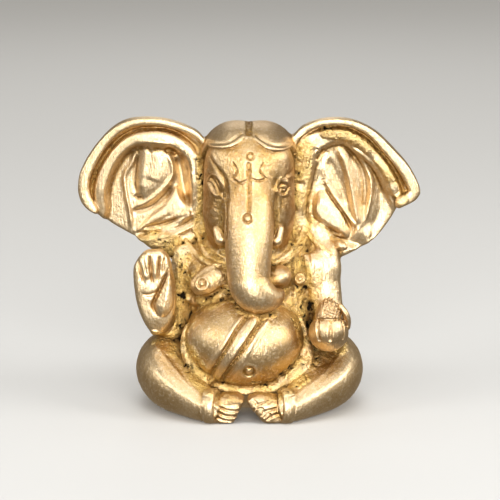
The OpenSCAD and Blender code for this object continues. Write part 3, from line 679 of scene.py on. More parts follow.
# eyes: a sunk socket with a knot of raised ridges in it
for uvs, amt, w in (([(-6.29, 11.61), (-5.65, 10.48), (-5.00, 9.35)], 0.50, 1.10),
                    ([(4.68, 10.65), (5.16, 10.00), (5.65, 9.35)], 0.46, 1.0)):
    cut(uvs, amt, w, q=2)
for uvs, amt, w in (([(-6.68, 11.29), (-6.19, 12.03), (-5.42, 11.94), (-4.71, 11.13), (-4.45, 10.00), (-4.68, 9.03)], -0.58, 0.28),
                    ([(-6.68, 10.65), (-6.29, 9.58), (-5.55, 8.87), (-4.74, 8.71)], -0.46, 0.27),
                    ([(-6.26, 11.19), (-5.71, 10.71), (-5.32, 9.87), (-5.26, 9.35)], -0.85, 0.28),
                    ([(-5.58, 11.35), (-5.10, 10.71), (-4.87, 10.00)], -0.55, 0.22),
                    ([(-6.32, 10.42), (-5.97, 9.77)], -0.55, 0.25),
                    ([(4.35, 9.68), (4.48, 10.68), (5.16, 11.16), (5.97, 10.97)], -0.48, 0.25),
                    ([(4.42, 9.42), (5.00, 8.87), (5.81, 8.94), (6.23, 9.68)], -0.46, 0.25),
                    ([(5.00, 10.26), (5.55, 10.19), (5.55, 9.65), (5.03, 9.68)], -0.62, 0.26)):
    cut(uvs, amt, w, q=2)
# brow and cheek creases that part the trunk from the face
cut([(-6.77, 15.32), (-5.89, 14.03), (-4.92, 12.74), (-4.03, 11.29), (-3.68, 9.35), (-3.77, 7.10), (-3.84, 4.52), (-3.77, 1.94)], 0.17, 0.36, 0.03, q=2, even=6)
cut([(7.42, 14.03), (6.29, 12.42), (5.16, 10.97), (4.45, 9.35), (4.23, 7.10), (4.19, 4.52), (4.10, 2.26)], 0.16, 0.34, 0.03, q=2, even=6)
cut([(-6.94, 12.90), (-6.45, 12.50), (-5.48, 12.26), (-4.60, 11.53)], -0.22, 0.32, q=2)
cut([(7.10, 11.94), (6.13, 11.77), (5.00, 11.45), (4.35, 10.81)], -0.18, 0.32, q=2)
# dimple of the hair ornament with its bead, and the lip along each lobe
cut([(-0.19, 20.73), (-0.19, 19.68), (-0.19, 18.61)], 0.50, 0.38, 0.04)
cut([(-0.19, 20.16), (-0.19, 19.35)], -0.34, 0.20, q=2)
cut([(-6.61, 16.87), (-5.32, 16.68), (-3.87, 16.77), (-2.42, 17.35), (-1.13, 18.35)], -0.20, 0.20, q=2)
cut([(-6.61, 17.39), (-5.32, 17.19), (-3.87, 17.29), (-2.58, 17.87), (-1.37, 18.81)], 0.14, 0.24, q=2)
cut([(0.71, 18.13), (1.77, 17.23), (3.23, 16.48), (5.00, 16.26), (6.61, 16.65)], -0.20, 0.20, q=2)
cut([(0.97, 18.61), (1.94, 17.77), (3.39, 17.03), (5.00, 16.81), (6.61, 17.19)], 0.14, 0.24, q=2)
# nipple and navel rings
ring((-7.79, -5.45), 0.46, 0.80, 0.34, 0.12)
ring((-0.16, -19.65), 0.52, 1.0, 0.36, 0.07)
ring((8.03, -4.61), 0.34, 0.60, 0.24, 0.10)
# fingers round the sweet, and the edge of the palm under them
cut([(10.97, -11.53), (10.90, -12.90), (11.16, -14.52)], 0.42, 0.24, 0.04)
cut([(13.06, -11.61), (13.03, -13.06), (12.94, -14.52)], 0.50, 0.26, 0.05)
cut([(14.97, -11.61), (15.16, -12.90), (15.00, -14.19)], 0.40, 0.22, 0.03)
cut([(10.23, -11.06), (11.45, -11.19), (12.90, -11.23), (14.84, -11.00)], 0.26, 0.18, 0.03)
cut([(14.35, -9.52), (15.24, -10.81), (15.68, -12.26)], 0.25, 0.16, 0.0)
# toes
for uvs, dp, w in (([(-4.92, -25.32), (-3.87, -25.81), (-2.74, -26.00), (-1.61, -25.90)], 0.26, 0.19), ([(-5.24, -26.13), (-4.35, -26.65), (-3.39, -26.90), (-2.18, -26.87)], 0.22, 0.17),
                   ([(-5.32, -26.97), (-4.52, -27.42), (-3.71, -27.58), (-2.82, -27.55)], 0.18, 0.16),
                   ([(0.94, -25.06), (1.77, -24.77), (2.90, -24.48)], 0.22, 0.19), ([(-0.10, -25.71), (0.65, -25.74), (1.06, -25.26), (1.00, -24.58), (0.42, -24.26)], 0.24, 0.17),
                   ([(2.16, -26.19), (3.06, -25.87), (4.27, -25.58)], 0.26, 0.19), ([(1.06, -26.39), (1.39, -25.61), (2.03, -25.65), (2.29, -26.23), (1.87, -26.71)], 0.22, 0.16),
                   ([(2.84, -27.32), (3.71, -26.77), (4.74, -26.39)], 0.24, 0.18), ([(2.32, -26.94), (2.71, -26.42), (3.23, -26.55), (3.29, -27.00)], 0.24, 0.17)):
    cut(uvs, dp, w, 0.05)
# shins: a soft edge over the front of each leg, hollowed on the lap side
cut([(-15.16, -15.65), (-13.87, -17.26), (-12.26, -19.19), (-10.16, -21.61), (-8.06, -23.71)], -0.14, 0.40, q=2)
cut([(15.48, -15.32), (13.87, -17.74), (11.77, -20.16), (9.35, -22.10), (7.10, -23.71)], -0.12, 0.40, q=2)

# the stole: two folds with grooves between them
cut([(-0.65, -10.81), (-2.03, -12.74), (-3.10, -14.68), (-4.35, -16.77), (-5.48, -18.71), (-6.61, -20.73)], 0.55, 0.32)
cut([(2.02, -11.21), (0.42, -13.55), (-0.65, -15.32), (-2.18, -17.42), (-3.39, -19.03), (-4.68, -21.05)], 0.58, 0.36)
for uvs, amt, w in (([(2.84, -11.29), (1.19, -13.79), (-0.35, -16.61), (-1.84, -19.11), (-3.18, -21.45)], -0.18, 0.26), ([(-1.19, -10.73), (-2.81, -12.74), (-3.94, -14.68), (-5.16, -16.77), (-6.87, -19.19)], -0.26, 0.32),
                    ([(0.58, -11.13), (-1.55, -14.68), (-3.39, -17.90), (-5.55, -20.97)], -0.36, 0.75)):
    cut(uvs, amt, w, q=2)


def patch(name, lo, hi, lines, r):
    """A region of the surface that is a piece of its own: within r of lines drawn on it."""
    q = Part(name, lo, hi, 0)
    for uvs in lines:
        pts = hits(uvs)
        q.f = d_line3(q.box, pts) if q.f is None else np.minimum(q.f, d_line3(q.box, pts))
    q.f = (q.f - r).astype(F4)
    ORDER.append(name)


patch("stole", (-9.8, -15.4, 2.0), (5.2, -5.0, 21.5), ([(-1.05, -10.65), (-3.15, -13.71), (-4.60, -16.13), (-7.10, -19.52)], [(0.65, -10.97), (-1.61, -14.52), (-3.39, -17.90), (-5.81, -21.45)], [(2.42, -11.29), (0.00, -15.32), (-3.55, -21.29)]), 1.15)
patch("hair_jewel", (-3.0, -8.8, 42.0), (3.0, -0.5, 48.5), ([(-0.21, 20.32), (-0.19, 18.87)],), 0.85)
patch("eye_right", (-9.0, -8.5, 33.0), (-3.0, -0.5, 41.0), ([(-5.97, 11.13), (-5.32, 9.84)],), 0.95)
patch("eye_left", (3.0, -8.5, 33.0), (9.0, -0.5, 41.0), ([(5.00, 10.32), (5.48, 9.68)],), 0.95)

# ---------------------------------------------------------------- cast skin
rng = np.random.RandomState(11)


def lattice(n=48):
    return rng.rand(n, n, n).astype(F4)


LAT = [lattice() for _ in range(6)]


TURN = np.array([[0.36, 0.48, -0.8], [-0.8, 0.6, 0.0], [0.48, 0.64, 0.6]])


def noise(P, scale, k=0):
    """Value noise at points, from -1 to 1, with features about `scale` mm wide."""
    g = P @ TURN / scale + 100.37 * (k + 1)
    i = np.floor(g).astype(np.int64)
    w = (g - i).astype(F4)
    w = w * w * (3 - 2 * w)
    L3 = LAT[k % 6]
    out = 0
    n = L3.shape[0]
    for dx in (0, 1):
        wx = w[:, 0] if dx else 1 - w[:, 0]
        for dy in (0, 1):
            wy = w[:, 1] if dy else 1 - w[:, 1]
            for dz in (0, 1):
                wz = w[:, 2] if dz else 1 - w[:, 2]
                out = out + wx * wy * wz * L3[(i[:, 0] + dx) % n, (i[:, 1] + dy) % n, (i[:, 2] + dz) % n]
    return out * 2 - 1


def blur(A, r):
    """Box blurs a grid twice along each of its three axes, radius r cells."""
    for _ in range(2):
        for ax in range(3):
            A = np.moveaxis(A, ax, 0)
            pad = np.concatenate([np.repeat(A[:1], r + 1, 0), A, np.repeat(A[-1:], r, 0)])
            c = np.cumsum(pad, axis=0, dtype=np.float64 if A.size < 2e5 else F4)
            A = ((c[2 * r + 1:] - c[:-2 * r - 1]) / (2 * r + 1)).astype(F4)
            A = np.moveaxis(A, 0, ax)
    return A


step = 2
LOW = FULL[::step, ::step, ::step]
LOWC = np.clip(LOW, -2.5, 2.5)
CAV_S = blur(LOWC, 1) - LOWC                    # about 0.6 mm features
CAV_M = blur(LOWC, 3) - LOWC                    # about 2 mm features
OCC = blur((LOW < 0).astype(F4), 6)             # share of metal within about 4 mm


def sample_low(A, P):
    g = (P - LO) / (H * step)
    i = np.clip(np.floor(g).astype(np.int64), 0, np.array(A.shape) - 2)
    w = np.clip(g - i, 0, 1).astype(F4)
    out = 0
    for dx in (0, 1):
        wx = w[:, 0] if dx else 1 - w[:, 0]
        for dy in (0, 1):
            wy = w[:, 1] if dy else 1 - w[:, 1]
            for dz in (0, 1):
                wz = w[:, 2] if dz else 1 - w[:, 2]
                out = out + wx * wy * wz * A[i[:, 0] + dx, i[:, 1] + dy, i[:, 2] + dz]
    return out


# ---------------------------------------------------------------- meshing
for nm in PARTS:
    q = PARTS[nm]
    MIN[q.box.sl] = np.minimum(MIN[q.box.sl], q.f)


def nets(f, org, h):
    s = f < 0
    c = np.zeros(tuple(n - 1 for n in f.shape), np.uint8)
    for dx in (0, 1):
        for dy in (0, 1):
            for dz in (0, 1):
                c += s[dx:f.shape[0] - 1 + dx, dy:f.shape[1] - 1 + dy, dz:f.shape[2] - 1 + dz]
    act = (c > 0) & (c < 8)
    ci, cj, ck = np.nonzero(act)
    idx = np.full(act.shape, -1, np.int32)
    idx[act] = np.arange(len(ci), dtype=np.int32)
    off = [(0, 0, 0), (1, 0, 0), (0, 1, 0), (1, 1, 0), (0, 0, 1), (1, 0, 1), (0, 1, 1), (1, 1, 1)]
    v = [f[ci + o[0], cj + o[1], ck + o[2]] for o in off]
    acc = np.zeros((len(ci), 3), F4)
    cnt = np.zeros(len(ci), F4)
    for a, b2 in ((0, 1), (2, 3), (4, 5), (6, 7), (0, 2), (1, 3), (4, 6), (5, 7), (0, 4), (1, 5), (2, 6), (3, 7)):
        m = (v[a] < 0) != (v[b2] < 0)
        t2 = np.where(m, v[a] / np.where(m, v[a] - v[b2], 1), 0)
        for ax in range(3):
            acc[:, ax] += np.where(m, off[a][ax] + t2 * (off[b2][ax] - off[a][ax]), 0)
        cnt += m
    V = np.stack([ci, cj, ck], 1) + acc / cnt[:, None]
    faces = []
    for ax in range(3):
        a1, a2 = (ax + 1) % 3, (ax + 2) % 3
        lo = [slice(None)] * 3
        hi = [slice(None)] * 3
        lo[ax], hi[ax] = slice(0, -1), slice(1, None)
        s0, s1 = s[tuple(lo)], s[tuple(hi)]
        e = np.argwhere(s0 != s1)
        ok = (e[:, a1] > 0) & (e[:, a2] > 0) & (e[:, a1] < f.shape[a1] - 1) & (e[:, a2] < f.shape[a2] - 1)
        e = e[ok]
        inside = s0[e[:, 0], e[:, 1], e[:, 2]]
        q4 = []
        for d1, d2 in ((-1, -1), (0, -1), (0, 0), (-1, 0)):
            g = e.copy()
            g[:, a1] += d1
            g[:, a2] += d2
            q4.append(idx[g[:, 0], g[:, 1], g[:, 2]])
        q4 = np.stack(q4, 1)
        q4[~inside] = q4[~inside][:, ::-1]
        faces.append(q4)
    return (org + h * V).astype(F4), np.concatenate(faces)


def gradient_at(P, eps=None):
    e = eps or H * 0.75
    g = np.empty_like(P)
    for ax in range(3):
        d = np.zeros(3, P.dtype)
        d[ax] = e
        g[:, ax] = sample(FULL, P + d) - sample(FULL, P - d)
    n = np.linalg.norm(g, axis=1, keepdims=True)
    return g / np.maximum(n, 1e-9)


def drawn_zone(uvs, y):
    return [at(q, y) for q in uvs]


# runs of cast skin that no file reached: points and radius
ZONES = [
    (drawn_zone([(-10.81, 0.65), (-10.65, -3.23), (-10.65, -8.06), (-10.65, -13.71), (-10.97, -16.13)], -4.0), 1.7),
    (drawn_zone([(-17.74, 1.61), (-14.84, 0.97), (-11.94, 0.00)], 0.0), 2.2),
    (drawn_zone([(8.06, -2.90), (9.03, -6.45), (9.03, -10.48), (9.52, -14.52)], -4.5), 1.9),
    (drawn_zone([(5.81, -7.42), (7.42, -9.68), (8.55, -12.58), (9.19, -15.32)], -7.0), 1.3),
    (drawn_zone([(9.03, 17.74), (8.87, 16.13), (8.55, 11.29), (8.23, 7.26), (8.55, 3.87)], 0.3), 1.55),
    (drawn_zone([(-8.23, 14.84), (-8.06, 11.29), (-8.06, 7.26), (-8.71, 3.55)], 0.3), 0.8),
    (drawn_zone([(-9.35, 2.42), (-8.06, -0.32), (-5.81, -2.10), (-3.87, -2.58)], -4.0), 1.5),
    (drawn_zone([(8.06, 2.90), (6.61, -0.32), (4.19, -2.26)], -3.6), 1.4),
    (drawn_zone([(-10.00, -7.74), (-8.23, -8.55), (-6.13, -8.39), (-3.71, -6.77)], -6.0), 1.2),
    (drawn_zone([(-9.68, -8.87), (-9.84, -12.90), (-9.68, -16.13)], -7.0), 1.1),
    (drawn_zone([(12.10, 19.19), (15.32, 18.71), (18.06, 17.42), (20.32, 15.48), (22.26, 12.90), (23.55, 10.32), (24.52, 8.06)], 0.8), 1.2),
    (drawn_zone([(-16.77, 1.29), (-14.84, 1.13), (-12.58, 1.13)], 0.6), 1.9),
    (drawn_zone([(-10.97, -16.45), (-9.03, -19.35), (-6.45, -21.61), (-3.55, -22.74), (-0.32, -23.06), (2.90, -22.74), (5.81, -21.61), (8.39, -19.68), (9.84, -17.42)], -11.0), 1.9),
    (drawn_zone([(10.32, -15.16), (12.90, -16.13), (15.16, -15.16)], -6.5), 1.6),
    (drawn_zone([(-15.48, -14.19), (-13.23, -14.84), (-11.29, -16.13)], -5.0), 1.5),
]


def in_zones(P):
    best = np.zeros(len(P), F4)
    for pts, r in ZONES:
        for i in range(len(pts) - 1):
            a, d = pts[i], pts[i + 1] - pts[i]
            t2 = np.clip(((P - a) @ d) / (d @ d), 0, 1)
            q = P - a - t2[:, None] * d
            q[:, 1] *= 0.45
            best = np.maximum(best, smooth(r + 0.35 - np.linalg.norm(q, axis=1), 0.0, 0.9))
    return best


SLOT = {"trunk": "brass_polished", "tusk_right": "brass_polished", "tusk_left": "brass_polished", "belly": "brass_polished",
        "raised_hand_right": "brass_polished", "thumb_right": "brass_polished", "cupped_hand_left": "brass_polished",
        "eye_right": "brass_recess", "eye_left": "brass_recess", "hair_jewel": "brass_recess", "necklace": "brass_recess", "lap_hem": "brass_recess",
        "breast_right": "brass_recess", "breast_left": "brass_recess", "upper_arm_right": "brass_recess", "torso": "brass_recess"}
# how much of the cast skin each piece keeps even where a cloth could reach
SKIN = {"lap_hem": 0.6, "necklace": 0.95, "torso": 0.30, "breast_right": 0.5, "breast_left": 0.35, "armlet_left": 0.3, "ear_right": 0.05, "ear_left": 0.12,
        "hair_jewel": 0.6, "eye_right": 0.3, "eye_left": 0.3, "upper_arm_right": 0.5, "head": 0.24, "belly": 0.04, "leg_right": 0.05, "leg_left": 0.05}
mats = {}


SOOT = [(at((-13.71, 1.29), 0.4), 2.2), (at((-10.97, -0.65), -2.0), 1.6), (at((-11.29, -2.90), -3.4), 1.5), (at((-11.13, -5.48), -3.8), 1.2), (at((-8.55, 14.52), 0.0), 0.9),
        (at((-8.06, 7.10), 0.2), 0.8), (at((-8.39, 3.87), -0.5), 0.8), (at((10.97, 16.13), 0.3), 1.1), (at((12.10, 10.81), 0.3), 1.0), (at((8.55, -1.94), -3.6), 1.7), (at((7.42, 0.00), -3.6), 1.2),
        (at((8.06, -8.87), -5.0), 1.7), (at((9.19, -12.90), -6.0), 1.2), (at((-10.32, -15.16), -6.4), 1.4), (at((-9.84, -19.03), -9.0), 1.1), (at((9.03, -18.55), -9.4), 1.3), (at((7.74, 3.55), -2.0), 1.1),
        (at((6.94, -1.94), -4.5), 1.2), (at((-5.81, -1.94), -4.6), 0.9), (at((-10.32, -11.61), -6.0), 1.1), (at((-13.55, -14.19), -5.4), 1.0), (at((-5.97, -25.81), -12.6), 0.8)]


def soot_at(V, warp):
    best = np.zeros(len(V), F4)
    for c, r in SOOT:
        d = np.linalg.norm((V - c) * (1, 0.5, 1), axis=1)
        best = np.maximum(best, smooth(r - d, 0.0, 0.7 * r))
    return best * smooth(noise(warp, 0.62, 3) + 0.8 * noise(V, 0.30, 2) + 0.4 * noise(V, 1.5, 0), -0.05, 0.35)


# a set darkening of the colour for each listed piece
PIECE_DARKENING = {"eye_right": 0.9, "eye_left": 0.9, "breast_right": 0.35, "breast_left": 0.45, "foot_right": 0.7, "foot_left": 0.65, "anklet_right": 0.2, "anklet_left": 0.2,
        "sweet_modak": 0.55, "cupped_hand_left": 0.35, "hair_dome_right": 0.15, "hair_dome_left": 0.35, "stole": 0.2, "armlet_left": 0.4}


def painted_shade_and_darkening(nm, V):
    """How far each place is darkened: on the head and trunk this is painted shade, strongest on the sides, with more
    over the upper trunk and head; each listed piece gets a set amount.
    """
    if nm in ("head", "trunk"):
        # painted shade: the sides of the head and trunk, and the upper trunk and head, are darkened
        side = smooth(np.abs(V[:, 0]) + 0.35 * noise(V, 1.6, 2), 4.0, 6.0) * smooth(44.5 - V[:, 2], 0.0, 6.0)
        top = 0.26 * smooth(V[:, 2], 18.0, 25.0) + 0.20 * smooth(V[:, 2] + 0.5 * noise(V, 1.9, 2), 30.0, 37.0)
        return np.maximum(side, top)
    return np.full(len(V), PIECE_DARKENING.get(nm, 0.0)) * (0.8 + 0.3 * noise(V, 1.9, 2))


def piece(nm):
    q = PARTS[nm]
    b = q.box
    F = FULL[b.sl]
    M = MIN[b.sl]
    Fi = F + 1.0 * np.maximum(q.f - M, 0)
    Fi[0], Fi[-1] = BIG, BIG
    Fi[:, 0], Fi[:, -1] = BIG, BIG
    Fi[:, :, 0], Fi[:, :, -1] = BIG, BIG
    org = np.array([AX[a][b.i0[a]] for a in range(3)])
    V, Q = nets(Fi, org, H)
    if not len(V):
        raise RuntimeError("no surface for " + nm)
    own = sample(MIN, V.astype(np.float64))
    N = gradient_at(V.astype(np.float64))
    # pull each vertex onto the surface, where the surface is this piece's own
    fv = sample(FULL, V.astype(np.float64))
    near_surface = np.abs(fv) < H
    V = V - N * np.where(near_surface, np.clip(fv, -0.5 * H, 0.5 * H), 0)[:, None]
    cs, cm, oc = (sample_low(A2, V) for A2 in (CAV_S, CAV_M, OCC))
    # blurred distance is above the true one on ridges and below it in hollows
    low = SKIN.get(nm, 0.0)
    # per-piece shifts of the cavity value, which pale or darken a whole piece's colour: painted light where positive
    # (ears, lap hem, raised hand, left upper arm), painted shade where negative (trunk, belly, legs, hair domes)
    cm = cm + {"lap_hem": 0.20, "necklace": -0.03, "cupped_hand_left": 0.03, "ear_right": 0.11, "ear_left": 0.10, "leg_right": -0.03, "leg_left": -0.03, "belly": -0.03, "trunk": -0.03, "raised_hand_right": 0.09, "torso": 0.02, "upper_arm_left": 0.07, "hair_dome_left": -0.03, "hair_dome_right": -0.01}.get(nm, 0.0)
    n1 = noise(V, 2.3, 0)
    rough = smooth(oc + 0.06 * n1, 0.55, 0.70)
    rough = np.maximum(rough, smooth(-cm + 0.03 * n1, 0.06, 0.28))
    zone = in_zones(V) * smooth(n1 + 0.45 * noise(V, 1.1, 3), -1.1, 0.1)
    rough = np.maximum(rough, zone)
    rough = np.clip(np.maximum(rough, low * (0.75 + 0.5 * n1)) - smooth(cm, 0.05, 0.25) * 0.35, 0, 1)
    grain = 0.8 * noise(V, 0.36, 1) + 0.6 * noise(V, 0.7, 2) + 0.6 * noise(V, 1.6, 3)
    warp = V + 0.35 * np.stack([noise(V, 0.9, j) for j in (1, 3, 5)], 1)
    pits = smooth(noise(warp, 0.55, 4) + 0.45 * noise(V, 2.1, 1) + 0.25 * noise(warp, 0.3, 2), 0.30, 0.85)
    disp = rough * (0.085 * grain - 0.24 * pits) + 0.020 * noise(V, 3.1, 5) + 0.010 * noise(V, 1.1, 2) + 0.007 * noise(V, 0.45, 0)
    soot = soot_at(V, warp)
    disp = disp - 0.10 * soot
    keep = smooth(V[:, 2], 0.0, 0.4)
    V = V + N * (disp * keep)[:, None]
    V[:, 2] = np.maximum(V[:, 2], 0.0)
    me = bpy.data.meshes.new("brass_" + nm)
    nv, nf = len(V), len(Q)
    me.vertices.add(nv)
    me.vertices.foreach_set("co", (V.astype(np.float64) * 0.001).astype(F4).ravel())
    me.loops.add(nf * 4)
    me.loops.foreach_set("vertex_index", Q.ravel().astype(np.int32))
    me.polygons.add(nf)
    me.polygons.foreach_set("loop_start", (np.arange(nf) * 4).astype(np.int32))
    me.polygons.foreach_set("loop_total", np.full(nf, 4, np.int32))
    me.update(calc_edges=True)
    me.validate()
    me.polygons.foreach_set("use_smooth", np.ones(len(me.polygons), bool))
    for key, val in (("rough_skin", rough), ("cavity", cm), ("fine_cavity", cs), ("enclosed", oc), ("pitted", rough * pits), ("painted_shade_and_darkening", painted_shade_and_darkening(nm, V)), ("soot", soot)):
        at2 = me.attributes.new(key, "FLOAT", "POINT")
        at2.data.foreach_set("value", val.astype(F4))
    ob = bpy.data.objects.new("brass_" + nm, me)
    bpy.context.scene.collection.objects.link(ob)
    ob.data.materials.append(mats[SLOT.get(nm, "brass_satin")])
    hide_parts(nm)
    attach(ob, "root")
    return ob


# ---------------------------------------------------------------- brass
def brass(name, grime):
    m = bpy.data.materials.new(name)
    m.use_nodes = True
    nt = m.node_tree
    for nd in list(nt.nodes):
        nt.nodes.remove(nd)
    N = lambda kind: nt.nodes.new(kind)
    L = nt.links.new
    out = N("ShaderNodeOutputMaterial")
    bs = N("ShaderNodeBsdfPrincipled")
    bs.inputs["Metallic"].default_value = 1.0
    L(bs.outputs[0], out.inputs[0])
    tc = N("ShaderNodeTexCoord")

    def attr(n):
        a = N("ShaderNodeAttribute")
        a.attribute_name = n
        return a.outputs["Fac"]

    def maths(op, a, b=None, clamp=False):
        x = N("ShaderNodeMath")
        x.operation = op
        x.use_clamp = clamp
        for i, v in enumerate((a, b)):
            if v is None:
                continue
            if isinstance(v, (int, float)):
                x.inputs[i].default_value = v
            else:
                L(v, x.inputs[i])
        return x.outputs[0]

    def rng_map(v, a, b, c=0.0, d=1.0):
        x = N("ShaderNodeMapRange")
        x.interpolation_type = "SMOOTHSTEP"
        for i, t2 in enumerate((a, b, c, d)):
            x.inputs[i + 1].default_value = t2
        L(v, x.inputs[0])
        return x.outputs[0]

    def nz(scale, detail=4.0, rough=0.55, dist=0.0):
        x = N("ShaderNodeTexNoise")
        x.inputs["Scale"].default_value = scale
        x.inputs["Detail"].default_value = detail
        x.inputs["Roughness"].default_value = rough
        x.inputs["Distortion"].default_value = dist
        L(tc.outputs["Object"], x.inputs["Vector"])
        return x.outputs["Fac"]

    def mix(fac, a, b):
        x = N("ShaderNodeMix")
        x.data_type = "RGBA"
        L(fac, x.inputs["Factor"])
        for sock, v in ((6, a), (7, b)):
            if isinstance(v, tuple):
                x.inputs[sock].default_value = (*v, 1)
            else:
                L(v, x.inputs[sock])
        return x.outputs[2]

    skin, cav, fine, enc = attr("rough_skin"), attr("cavity"), attr("fine_cavity"), attr("enclosed")
    big = nz(260.0, 3.0)
    mid = nz(1100.0, 4.0)
    small = nz(4200.0, 3.0, 0.6)
    # colour: pale worn metal on high points and darker satin in hollows, partly wear and partly painted shade; yellow
    # cast skin; brown and black in the hollows
    pit = attr("pitted")
    fleck = nz(2300.0, 3.0, 0.6)
    # painted shade and light: the cavity value, with its per-piece shifts, darkens hollows toward satin and pales high
    # points
    wear_and_shade = rng_map(maths("ADD", cav, maths("MULTIPLY", maths("SUBTRACT", big, 0.5), 0.16)), -0.05, 0.16)
    col = mix(wear_and_shade, (0.49, 0.305, 0.11), (0.76, 0.575, 0.335))
    col = mix(rng_map(fleck, 0.50, 0.66, 0.0, 0.50), col, (0.90, 0.78, 0.58))
    col = mix(rng_map(small, 0.60, 0.38, 0.0, 0.22), col, (0.36, 0.20, 0.07))
    yellow = mix(fleck, (0.46, 0.27, 0.055), (0.86, 0.64, 0.24))
    sk = maths("MULTIPLY", skin, rng_map(mid, 0.25, 0.6, 0.6, 1.0), True)
    col = mix(sk, col, yellow)
    # painted shade on the head and trunk, and a set darkening for each listed piece, mixed toward dark brown
    col = mix(maths("MULTIPLY", attr("painted_shade_and_darkening"), rng_map(mid, 0.3, 0.7, 0.50, 0.95), True), col, (0.37, 0.195, 0.062))
    groove = rng_map(maths("MULTIPLY", fine, -1.0), 0.018, 0.085)
    brown = rng_map(maths("SUBTRACT", maths("MULTIPLY", cav, -1.0), maths("MULTIPLY", maths("SUBTRACT", mid, 0.5), 0.35)), 0.04, 0.34)
    brown = maths("MAXIMUM", brown, maths("MULTIPLY", groove, rng_map(mid, 0.35, 0.65, 0.35, 1.0)), True)
    col = mix(maths("MULTIPLY", brown, 0.78, True), col, (0.21, 0.105, 0.028))
    halo = rng_map(maths("ADD", maths("ADD", enc, maths("MULTIPLY", pit, 0.25)), maths("MULTIPLY", maths("SUBTRACT", mid, 0.5), 0.9)), 0.66 - grime, 0.86 - grime)
    col = mix(maths("MULTIPLY", halo, 0.65, True), col, (0.16, 0.09, 0.03))
    black = rng_map(maths("ADD", enc, maths("ADD", maths("MULTIPLY", maths("SUBTRACT", mid, 0.5), 0.8), maths("MULTIPLY", maths("SUBTRACT", fleck, 0.5), 0.5))), 0.80 - grime, 0.90 - grime)
    dots = maths("ADD", maths("MULTIPLY", maths("SUBTRACT", mid, 0.5), 0.7), maths("MULTIPLY", maths("SUBTRACT", fleck, 0.5), 0.9))
    speck = rng_map(maths("ADD", maths("MULTIPLY", pit, 0.75), dots), 0.44, 0.66)
    speck = maths("MULTIPLY", speck, rng_map(pit, 0.02, 0.25, 0.06, 1.0))
    black = maths("MAXIMUM", black, speck, True)
    black = maths("MAXIMUM", black, maths("MULTIPLY", attr("soot"), rng_map(maths("ADD", fleck, small), 0.85, 1.10, 0.15, 1.0)), True)
    col = mix(maths("MULTIPLY", black, 0.96, True), col, (0.014, 0.011, 0.008))
    L(col, bs.inputs["Base Color"])
    ro = maths("ADD", maths("MULTIPLY", skin, 0.03), rng_map(fleck, 0.3, 0.7, 0.31, 0.43))
    ro = maths("ADD", ro, maths("MULTIPLY", black, 0.35))
    ro = maths("ADD", ro, maths("MULTIPLY", brown, 0.10), True)
    L(ro, bs.inputs["Roughness"])
    # fine scratches and the grain of the cast skin
    sc = N("ShaderNodeMapping")
    sc.inputs["Scale"].default_value = (900.0, 900.0, 140.0)
    sc.inputs["Rotation"].default_value = (0.4, 0.7, 0.2)
    L(tc.outputs["Object"], sc.inputs["Vector"])
    s1 = N("ShaderNodeTexNoise")
    s1.inputs["Scale"].default_value = 6.0
    s1.inputs["Detail"].default_value = 3.0
    L(sc.outputs[0], s1.inputs["Vector"])
    height = maths("ADD", maths("MULTIPLY", s1.outputs["Fac"], 0.30), maths("MULTIPLY", fleck, maths("ADD", maths("MULTIPLY", skin, 0.95), 0.17)))
    height = maths("ADD", height, maths("MULTIPLY", small, maths("ADD", maths("MULTIPLY", skin, 0.6), 0.12)))
    height = maths("ADD", height, maths("MULTIPLY", maths("MULTIPLY", mid, skin), 0.9))
    bp = N("ShaderNodeBump")
    bp.inputs["Strength"].default_value = 0.75
    bp.inputs["Distance"].default_value = 0.00035
    L(height, bp.inputs["Height"])
    L(bp.outputs[0], bs.inputs["Normal"])
    return m


mats["brass_polished"] = brass("brass_polished", 0.00)
mats["brass_satin"] = brass("brass_satin", 0.02)
mats["brass_recess"] = brass("brass_recess", 0.035)

for nm in ORDER:
    piece(nm)

# ---------------------------------------------------------------- floor, light, camera
me = bpy.data.meshes.new("floor")
me.from_pydata([(-6, -6, 0), (6, -6, 0), (6, 6, 0), (-6, 6, 0)], [], [(0, 1, 2, 3)])
floor = bpy.data.objects.new("floor", me)
bpy.context.scene.collection.objects.link(floor)
fm = bpy.data.materials.new("floor_card")
fm.use_nodes = True
fb = fm.node_tree.nodes["Principled BSDF"]
fb.inputs["Base Color"].default_value = (0.50, 0.50, 0.49, 1)
fb.inputs["Roughness"].default_value = 0.9
me.materials.append(fm)
floor.visible_glossy = False
LK, LT, LL, LR, LB, LW = 0.85, 0.90, 0.95, 1.4, 0.25, 0.40


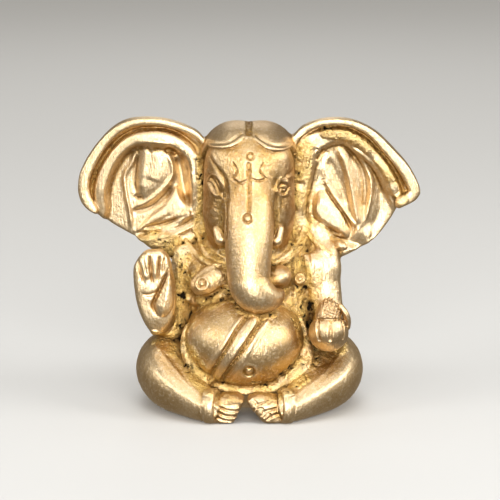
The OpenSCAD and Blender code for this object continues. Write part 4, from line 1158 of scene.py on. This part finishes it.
def light(name, loc, target, size, power, colour=(1, 1, 1)):
    ld = bpy.data.lights.new(name, "AREA")
    ld.shape = "DISK"
    ld.size = size
    ld.energy = power
    ld.color = colour
    ob = bpy.data.objects.new(name, ld)
    ob.location = loc
    d = np.array(target) - np.array(loc)
    import mathutils
    ob.rotation_euler = mathutils.Vector(d).to_track_quat("-Z", "Y").to_euler()
    bpy.context.scene.collection.objects.link(ob)


light("key", (0.02, -0.50, 0.092), (0, 0, 0.024), 0.16, LK)
light("fill", (0.05, -0.58, 0.17), (0, 0, 0.026), 0.60, 3.9)
light("top", (-0.01, -0.12, 0.50), (0, 0, 0.03), 0.30, LT)
light("left", (-0.42, -0.20, 0.22), (0, 0, 0.02), 0.22, LL)
light("right", (0.42, -0.14, 0.20), (0, 0, 0.02), 0.22, LR)
light("back", (0.0, 0.45, 0.30), (0, 0, 0.03), 0.22, LB)
# an overhead wash for the floor alone: it stays out of the metal's reflections
ld = bpy.data.lights.new("wash", "SUN")
ld.energy = 1.3
ld.angle = math.radians(70)
ob = bpy.data.objects.new("wash", ld)
ob.location = (0, 0, 1)
ob.visible_glossy = False
bpy.context.scene.collection.objects.link(ob)
w = bpy.data.worlds.new("studio")
bpy.context.scene.world = w
w.use_nodes = True
wt = w.node_tree
bg = wt.nodes["Background"]
bg.inputs[0].default_value = (0.62, 0.55, 0.45, 1)
bg.inputs[1].default_value = LW
card = wt.nodes.new("ShaderNodeBackground")
card.inputs[0].default_value = (0.62, 0.62, 0.61, 1)
card.inputs[1].default_value = 0.8
lp = wt.nodes.new("ShaderNodeLightPath")
mx = wt.nodes.new("ShaderNodeMixShader")
wt.links.new(lp.outputs["Is Camera Ray"], mx.inputs[0])
wt.links.new(bg.outputs[0], mx.inputs[1])
wt.links.new(card.outputs[0], mx.inputs[2])
wt.links.new(mx.outputs[0], wt.nodes["World Output"].inputs[0])

import mathutils
cam = bpy.data.cameras.new("camera")
cam.sensor_width = 36.0
cam.lens = 36.0 * DIST / (500 / 6.2)
cam.clip_start = 0.01
co = bpy.data.objects.new("camera", cam)
co.location = tuple(CAM * 0.001)
co.rotation_euler = mathutils.Vector((TARGET - CAM) * 0.001).to_track_quat("-Z", "Y").to_euler()
bpy.context.scene.collection.objects.link(co)
bpy.context.scene.camera = co
bpy.context.scene.view_settings.view_transform = "Standard"
